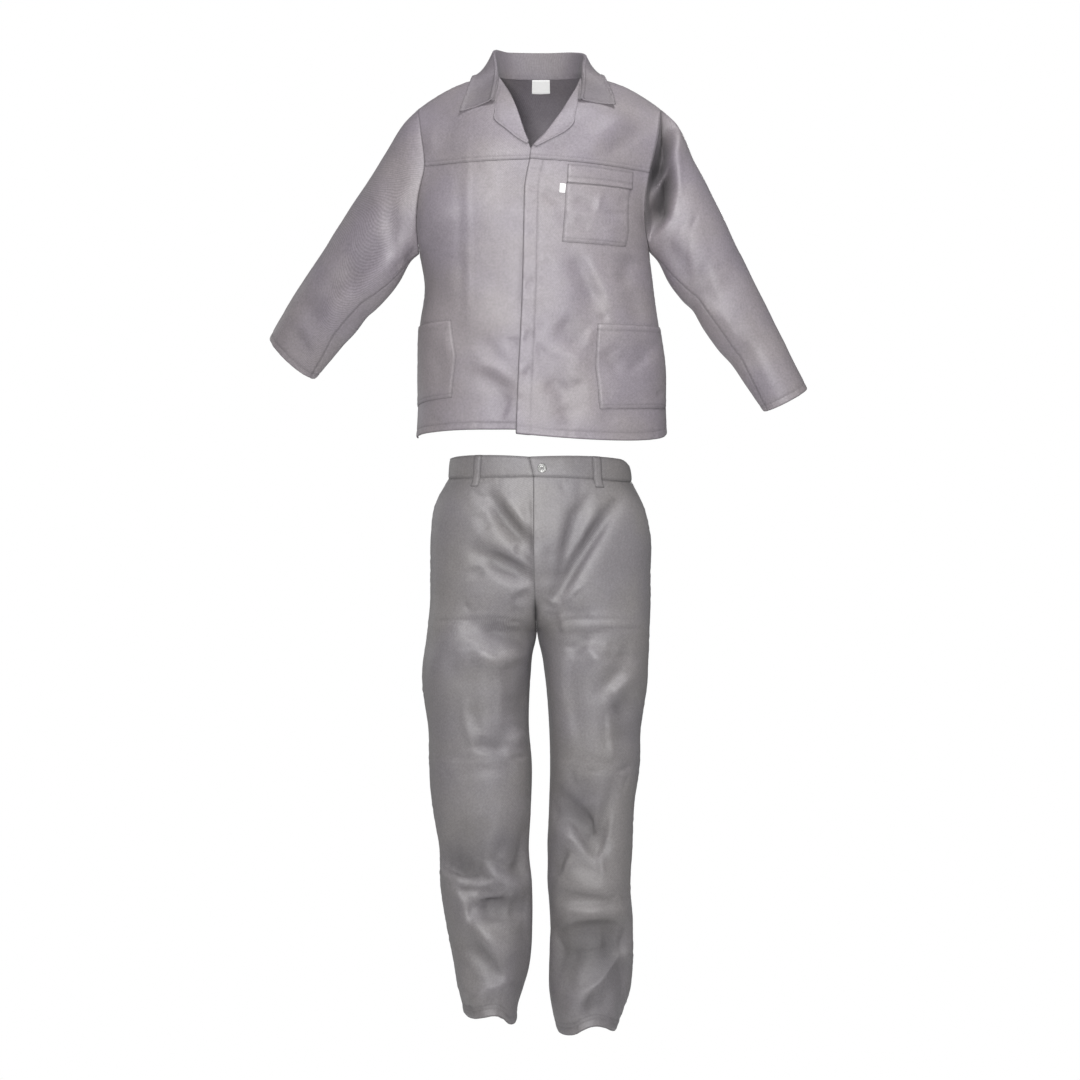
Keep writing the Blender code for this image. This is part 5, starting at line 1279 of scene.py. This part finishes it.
# Rows are heights, columns are numbers of the front's columns, lift is how far the cloth stands off
pocketCuts = {
    "chestPocket": {
        "node": "pocket_chest", "side": "left", "rows": (-318, -202), "columns": (2, 5),
        "cut": (0.136, 0.117, 0.0156), "lift": 0.5, "mouth": 0.0, "stitches": ((2.6, 7.4), (2.6,), (2.6,)),
    },
    "pocketFlap": {
        "node": "pocket_flap", "side": "left", "rows": (-203, -167), "columns": (2.03, 5.25),
        "cut": (0.138, 0.036, 0.0048), "lift": 2.0, "mouth": 0.0, "stitches": ((11.0,), (), (2.6,)),
    },
    "lowerPocketLeft": {
        "node": "pocket_lower_left", "side": "left", "rows": (-646, -476), "columns": (3, 8),
        "cut": (0.192, 0.165, 0.0308), "lift": 0.5, "mouth": 1.8, "stitches": ((2.6, 7.4), (2.6,), (12,)),
    },
    "lowerPocketRight": {
        "node": "pocket_lower_right", "side": "right", "rows": (-620, -467), "columns": (4, 8),
        "cut": (0.134, 0.155, 0.0200), "lift": 0.5, "mouth": 1.8, "stitches": ((2.6, 7.4), (2.6,), (13.5,)),
    },
}


def makePocket(name):
    sizes = pocketCuts[name]
    side, (bottom, top), (first, last) = sizes["side"], sizes["rows"], sizes["columns"]

    middle = (bottom + top) / 2

    def across(t):
        return jacketFront(side, columnShare(side, first + (last - first) * t, np.array([middle]))[0], middle)
    heights = evenRows(lambda z: jacketFront(side, 0.5, z), bottom, top, cloth["pocketCell"])
    columns = first + (last - first) * evenLines(across, cloth["pocketCell"])
    grid = jacketFront(side, columnShare(side, columns, heights), heights[:, None])

    def lay(across, along, away):
        edge = np.minimum(np.minimum(away["first"], away["last"]), np.minimum(away["low"], away["high"]))
        level = cloth["wall"] + sizes["lift"] + 0.6 * ease(edge / 8)
        open = np.exp(-away["high"] / 16) * np.sin(math.pi * np.clip(across / across[:, -1:], 0, 1)) ** 0.7
        return level + sizes["mouth"] * open
    low, sides, mouth = sizes["stitches"]
    edges = {
        "low": {"stitch": low, "worn": 0.9, "pucker": 0.4, "seed": 21},
        "first": {"stitch": sides, "worn": 0.8, "pucker": 0.4, "seed": 22},
        "last": {"stitch": sides, "worn": 0.8, "pucker": 0.4, "seed": 23},
        "high": {"stitch": mouth, "worn": 0.9, "pucker": 0.4, "roll": 0.4, "size": 24},
    }
    panel = sewPanel(name, grid, side == "right", onJacketFront, edges, reshape=lay)
    runs = [edgeRun(panel, edge, gap, 0.02, 0.98) for edge, detail in edges.items() for gap in detail["stitch"]]
    sewn(panel, jacketCloth, sizes["cut"],
         [sizes["node"]], runs)


sideTab = {"side": "left", "rows": (-223, -206), "columns": (1.77, 1.98), "cut": (0.011, 0.017, 0.00018), "lift": 1.5}
neckLabel = {"rows": (-21.3, -0.5), "reach": (15.6, 19.5), "cut": (0.036, 0.033, 0.0011), "lift": -2.2}


def makeTab():
    heights = np.linspace(*sideTab["rows"], 9)
    columns = np.linspace(*sideTab["columns"], 8)
    grid = jacketFront(sideTab["side"], columnShare(sideTab["side"], columns, heights), heights[:, None])
    edges = dict.fromkeys(("low", "high", "first", "last"), {"roll": 0.15, "pucker": 0.05})
    panel = sewPanel("sideTab", grid, False, onJacketFront, edges, wall=1.0, reshape=lambda *_: sideTab["lift"])
    sewn(panel, whiteTape, sideTab["cut"], ["side_tab"])


def makeLabel():
    heights = np.linspace(*neckLabel["rows"], 10)
    right = np.linspace(neckShare(neckLabel["reach"][0]), 0, 6)
    left = np.linspace(0, neckShare(neckLabel["reach"][1]), 7)[1:]
    grid = np.concatenate((jacketBack("left", left[::-1][None, :], heights[:, None]),
                           jacketBack("right", right[::-1][None, :], heights[:, None])), axis=1)
    edges = dict.fromkeys(("low", "high", "first", "last"), {"roll": 0.1, "pucker": 0.1})
    panel = sewPanel("neckLabel", grid, False, (), edges, wall=0.8, uneven=0.2,
                     reshape=lambda *_: neckLabel["lift"])
    sewn(panel, whiteTape, neckLabel["cut"], ["neck_label"])


for side in ("left", "right"):
    makeJacketFront(side)
    makeYoke(side)
    makeSleeve(side, False)
    makeSleeve(side, True)
    makeLapel(side)
makeJacketBack()
makeCollar()
for name in pocketCuts:
    makePocket(name)
makeTab()
makeLabel()
print("jacket sewn")


trouserCut = {
    "cut": (0.34, 1.10, 0.300), "backCut": (0.345, 1.10, 0.302), "hemStitch": (14.5, 22),
    "flyTop": -1005, "flyWidth": 40, "flyLift": 1.3, "gathers": 1.5, "gatherSize": 12,
    "echo": (0.75, (-16, 12)),    # strength and shift of the front's creases on the back
    "crotchShade": 0.7,      # painted shade where the legs part: how dark, and the heights that this goes over
    "shadeRows": (-1084, -1062, -1030, -1002),
}


def trouserRows(side, back, cell):
    heights = evenRows(lambda z: legForm(side, 0.45, z, back), trouserHem, waist, cell,
                       lowLines=trouserCut["hemStitch"])
    extra = np.arange(crotch, crotch + 36, 2.6)    # the crotch curve needs closer rows
    return np.unique(np.concatenate((heights[(heights < crotch - 1) | (heights > crotch + 36)], extra)))


def makeTrouserPanel(side, back):
    cell = cloth["backCell"] if back else cloth["cell"]
    heights = trouserRows(side, back, cell)
    shares = evenLines(lambda t: legForm(side, t, -1290, back), cell)
    grid = legForm(side, shares[None, :], heights[:, None], back)
    fly = side == "left" and not back
    flyRise = trouserCut["flyLift"] * ease((heights - trouserCut["flyTop"]) / 14)[:, None] if fly else 0

    def shape(across, along, away):
        if back:
            return trouserCut["gathers"] * np.exp(-away["high"] / 26) * ripple(across, trouserCut["gatherSize"], 31)
        return flyRise * (1 - ease(across / trouserCut["flyWidth"]))
    wall = cloth["wall"] + flyRise * (1 - ease((lengthsAlong(grid, 1) - trouserCut["flyWidth"]) / 4))
    edges = {
        "low": {"thick": (1.0, 21), "stitch": trouserCut["hemStitch"], "worn": 0.9, "pucker": 0.7, "size": 24,
                "spread": 18},
        "high": {"hold": 5, "pucker": 0.5, "roll": 0.6, "size": 17},
        "last": {"hold": 7, "pucker": 0.6, "roll": 0.7, "seed": 7, "size": 19},
        "first": {"hold": 8, "pucker": 0.15, "roll": 0.1, "seed": 4, "size": 19},
    }
    if back:
        folds = [(mirrored(creases["trousersFront"]), "back", *trouserCut["echo"]),
                 (creases["trousersBack"], "back", 1.0, (0, 0))]
    else:
        folds = [(creases["trousersFront"], "front", 1.0, (0, 0))]
    name = ("trousersBack" if back else "trousersFront") + side.title()
    panel = sewPanel(name, grid, (side == "right") != back, folds, edges, wall=wall, reshape=shape)
    if not back:
        # painted shade beside the seam where the legs part
        low = np.interp(heights, trouserCut["shadeRows"], (0, 1, 1, 0))[:, None]
        panel.wearAndShade -= trouserCut["crotchShade"] * low * np.exp(-(lengthsAlong(grid, 1) / 8) ** 2)
    runs = [edgeRun(panel, "low", d) for d in trouserCut["hemStitch"]]
    if not back:
        runs += [drawnRun(panel, line) for line in trouserStitches[side]]
    nodes = [("trousers_back_" if back else "trousers_front_") + side] + (["fly"] if fly else [])
    sewn(panel, trouserCloth, trouserCut["backCut" if back else "cut"],
         nodes, runs)


def mirrored(lines):    # the same kind of creases for the side that the photo doesn't show
    return [(minus, plus, deep, *[-value if i % 2 == 0 else value for i, value in enumerate(line)])
            for plus, minus, deep, *line in lines]


bandCut = {
    "cut": (0.23, 0.042, 0.0095), "backCut": (0.54, 0.043, 0.0230), "cell": 4.4, "backCell": 3.2, "rowCell": 3.6,
    "crown": 0.9, "gathers": 1.7, "gatherSize": 11, "zigzag": (11, 27), "seamStitch": 2.4, "stitch": 2.6,
    "overlap": 1.2, "overlapReach": 60,
}


def makeFrontBand(side):
    shares = evenLines(lambda t: bandForm(side, t, 0, False), bandCut["cell"])
    ups = evenLines(lambda t: bandForm(side, 0.5, t, False), bandCut["rowCell"])
    grid = bandForm(side, shares[None, :], ups[:, None], False)

    def shape(across, along, away):
        return bandCut["crown"] * np.sin(math.pi * np.clip(along / along[-1:], 0, 1)) + (
            bandCut["overlap"] * (1 - ease(across / bandCut["overlapReach"])) if side == "left" else 0)
    edges = {
        "low": {"stitch": (bandCut["seamStitch"],), "pucker": 0.45, "roll": 0.6, "size": 14},
        "high": {"stitch": (bandCut["stitch"],), "pucker": 0.4, "worn": 0.9, "size": 22},
        "first": {"stitch": (bandCut["stitch"],), "worn": 0.8, "roll": 0.4, "pucker": 0.3},
        "last": {"hold": 4, "roll": 0.6, "pucker": 0.3},
    }
    panel = sewPanel("frontBand" + side.title(), grid, side == "right", (), edges, uneven=0.7, wall=2.0,
                     reshape=shape)
    runs = [edgeRun(panel, edge, *edges[edge]["stitch"]) for edge in ("low", "high", "first")]
    sewn(panel, trouserCloth, bandCut["cut"], ["waistband_" + side], runs)


def makeBackBand():
    half = evenLines(lambda t: bandForm("left", t, 0, True), bandCut["backCell"], low=False)
    ups = evenLines(lambda t: bandForm("left", 0.5, t, True), bandCut["rowCell"])
    grid = bothSides(lambda side, share, up: bandForm(side, share, up, True), half, ups[:, None])

    def shape(across, along, away):
        ends = 0.25 + 0.75 * ease(np.minimum(away["first"], away["last"]) / 9)
        return bandCut["gathers"] * ends * ripple(across, bandCut["gatherSize"], 31)
    edges = {
        "low": {"stitch": (bandCut["seamStitch"],), "pucker": 0.5, "roll": 0.6, "size": 9},
        "high": {"pucker": 0.7, "worn": 0.8, "size": 10},
        **dict.fromkeys(("first", "last"), {"hold": 4, "roll": 0.6}),
    }
    panel = sewPanel("backBand", grid, False, (), edges, uneven=0.7, wall=2.4, reshape=shape)
    runs = [edgeRun(panel, "low", bandCut["seamStitch"])]
    runs += [zigzag(edgeRun(panel, "low", gap, 0.03, 0.97), 4, 2.6) for gap in bandCut["zigzag"]]
    sewn(panel, trouserCloth, bandCut["backCut"],
         ["waistband_back"], runs)


# Node, side, whether it is on the back band, share of the band at its middle, half its width as a share
loops = {
    "beltLoopFrontRight": ("belt_loop_front_right", "right", False, 0.45, 0.034),
    "beltLoopFrontLeft": ("belt_loop_front_left", "left", False, 0.465, 0.034),
    "beltLoopSideRight": ("belt_loop_side_right", "right", True, 0.79, 0.051),
    "beltLoopSideLeft": ("belt_loop_side_left", "left", True, 0.79, 0.051),
    "beltLoopBack": ("belt_loop_back", "both", True, 0.0, 0.048),
}
loopShape = {
    "cut": (0.022, 0.060, 0.00130), "top": 39, "stitch": 2.0, "tack": 2.6,
    "rise": ((-16.5, 1.9), (-10, 2.3), (0, 4.0), (18, 4.8), (34, 4.4), (41, 2.6)),    # height above the seam, lift
}


def loopBase(side, back, share, rise):
    share, rise = np.broadcast_arrays(share, rise)
    below = legForm(side, share, np.minimum(waist + rise, waist), back)
    above = bandForm(side, share, np.clip(rise / band["height"], 0, 1.02), back)
    return np.where((rise < 0)[..., None], below, above)


def makeLoop(name):
    replaced, side, back, middle, half = loops[name]
    rises = np.linspace(loopShape["rise"][0][0], loopShape["top"], 22)[:, None]
    if side == "both":
        grid = bothSides(lambda each, share, rise: loopBase(each, back, share, rise), np.linspace(0, half, 6), rises)
    else:
        grid = loopBase(side, back, np.linspace(middle - half, middle + half, 10)[None, :], rises)
    flip = (side == "right") != back and side != "both"
    lift = readTable(loopShape["rise"], rises[:, 0])
    edges = {
        "first": {"stitch": (loopShape["stitch"],), "pucker": 0.15, "worn": 1.0},
        "last": {"stitch": (loopShape["stitch"],), "pucker": 0.15, "worn": 1.0, "seed": 5},
        **dict.fromkeys(("low", "high"), {"roll": 0.6, "pucker": 0.1, "worn": 1.0}),
    }
    panel = sewPanel(name, grid, flip, (), edges, uneven=0.5, wall=1.5, reshape=lambda *_: lift)
    runs = [edgeRun(panel, edge, loopShape["stitch"]) for edge in ("first", "last")]
    runs += [zigzag(edgeRun(panel, edge, loopShape["tack"], 0.12, 0.88), 3, 1.2) for edge in ("low", "high")]
    sewn(panel, trouserCloth, loopShape["cut"], [replaced], runs)


button = {
    "profile": (             # radius and height above the band, from the middle of the face to the foot
        (0, 0.4), (1.4, 0.4), (1.9, 1.0), (2.4, 2.4), (2.9, 2.8), (3.5, 2.5), (4.2, 1.7), (5.2, 1.5), (6.0, 2.0),
        (6.6, 2.8), (7.2, 3.15), (7.9, 3.1), (8.5, 2.6), (8.8, 2.0), (8.8, 1.3), (8.5, 0.8), (7.4, 0.3), (0, 0.3),
    ),
    "steps": 48,
    "place": (4, -758),
}


def makeButton():
    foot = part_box("button")[1][1] * 1000
    (x, z), steps, profile = button["place"], button["steps"], button["profile"]
    points = [(x + radius * math.cos(turn), foot - height, z + radius * math.sin(turn))
              for radius, height in profile[1:-1] for turn in np.arange(steps) * 2 * math.pi / steps]
    last = len(points) - steps
    points += [(x, foot - height, z) for height in (profile[0][1], profile[-1][1])]
    faces = []
    for i in range(steps):
        j = (i + 1) % steps
        faces.append((len(points) - 2, i, j))
        faces += [(ring + j, ring + i, ring + steps + i, ring + steps + j) for ring in range(0, last, steps)]
        faces.append((len(points) - 1, last + j, last + i))
    piece = addMesh("shankButton", points, faces, dullNickel)
    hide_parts("button")


for side in ("left", "right"):
    makeTrouserPanel(side, False)
    makeTrouserPanel(side, True)
    makeFrontBand(side)
makeBackBand()
for name in loops:
    makeLoop(name)
makeButton()
print("trousers sewn")


studio = {
    "cameraPlace": (0.0, -11.7, -0.897),
    "lens": 200,
    "floorHeight": -2.6,
    "floorColour": (0.85, 0.85, 0.85),
    "aim": (0.0, 0.0, -0.55),
    "lamps": {               # degrees to the right of the camera, degrees up, distance, size, power
        "keyLamp": (-4, 9, 2.9, 0.7, 88),
        "topLamp": (24, 66, 2.7, 0.9, 42),
        "rightLamp": (60, 8, 3.4, 1.0, 9),
        "backLamp": (176, 16, 3.2, 1.4, 100),
        "farLamp": (-128, 6, 3.6, 1.2, 14),
    },
    "air": 0.24,             # light from all round
}


def studioLamp(name, right, up, distance, size, power):
    data = bpy.data.lights.new(name, "AREA")
    data.shape = "DISK"
    data.size = size
    data.energy = power
    item = newObject(name, data)
    right, up = math.radians(right), math.radians(up)
    item.location = np.array(studio["aim"]) + distance * np.array(
        (math.sin(right) * math.cos(up), -math.cos(right) * math.cos(up), math.sin(up)))
    item.rotation_euler = (math.pi / 2 - up, 0, right)


def studioFloor():
    mesh = bpy.data.meshes.new("studioFloor")
    z, colour = studio["floorHeight"], studio["floorColour"]
    mesh.from_pydata([(-7, -8, z), (7, -8, z), (7, 5, z), (-7, 5, z)], [], [(0, 1, 2, 3)])
    material, tree, shader = newMaterial("studioFloor")
    tone = blend(tree, (-400, 0), noise(tree, (-700, 0), Scale=1.5), [c * 0.99 for c in colour], colour)
    feed(tree, shader, {"Base Color": tone, "Roughness": 0.9, "Specular IOR Level": 0.1})
    mesh.materials.append(material)
    newObject("studioFloor", mesh)


def studioAir():
    world = bpy.data.worlds.new("studioAir")
    world.use_nodes = True
    tree = world.node_tree
    air = tree.nodes["Background"]
    feed(tree, air, {"Color": (1, 1, 1, 1), "Strength": studio["air"]})
    # the white paper far behind, which gives no light
    seen = node(tree, "ShaderNodeBackground", (-200, -200), {"Color": (1, 1, 1, 1), "Strength": 1.0})
    paths = node(tree, "ShaderNodeLightPath", (-400, 200))
    choice = node(tree, "ShaderNodeMixShader", (100, 100), {
        "Fac": paths.outputs["Is Camera Ray"], 1: air.outputs[0], 2: seen.outputs[0]})
    tree.links.new(choice.outputs[0], tree.nodes["World Output"].inputs["Surface"])
    bpy.context.scene.world = world


def studioCamera():
    lens = bpy.data.cameras.new("studioCamera")
    lens.lens = studio["lens"]
    lens.sensor_width = 36
    lens.clip_end = 60
    camera = newObject("studioCamera", lens)
    camera.location = studio["cameraPlace"]
    camera.rotation_euler = (math.pi / 2, 0, 0)
    bpy.context.scene.camera = camera
    bpy.context.scene.view_settings.view_transform = "Standard"


studioFloor()
for name, sizes in studio["lamps"].items():
    studioLamp(name, *sizes)
studioAir()
studioCamera()
print("studio ready")
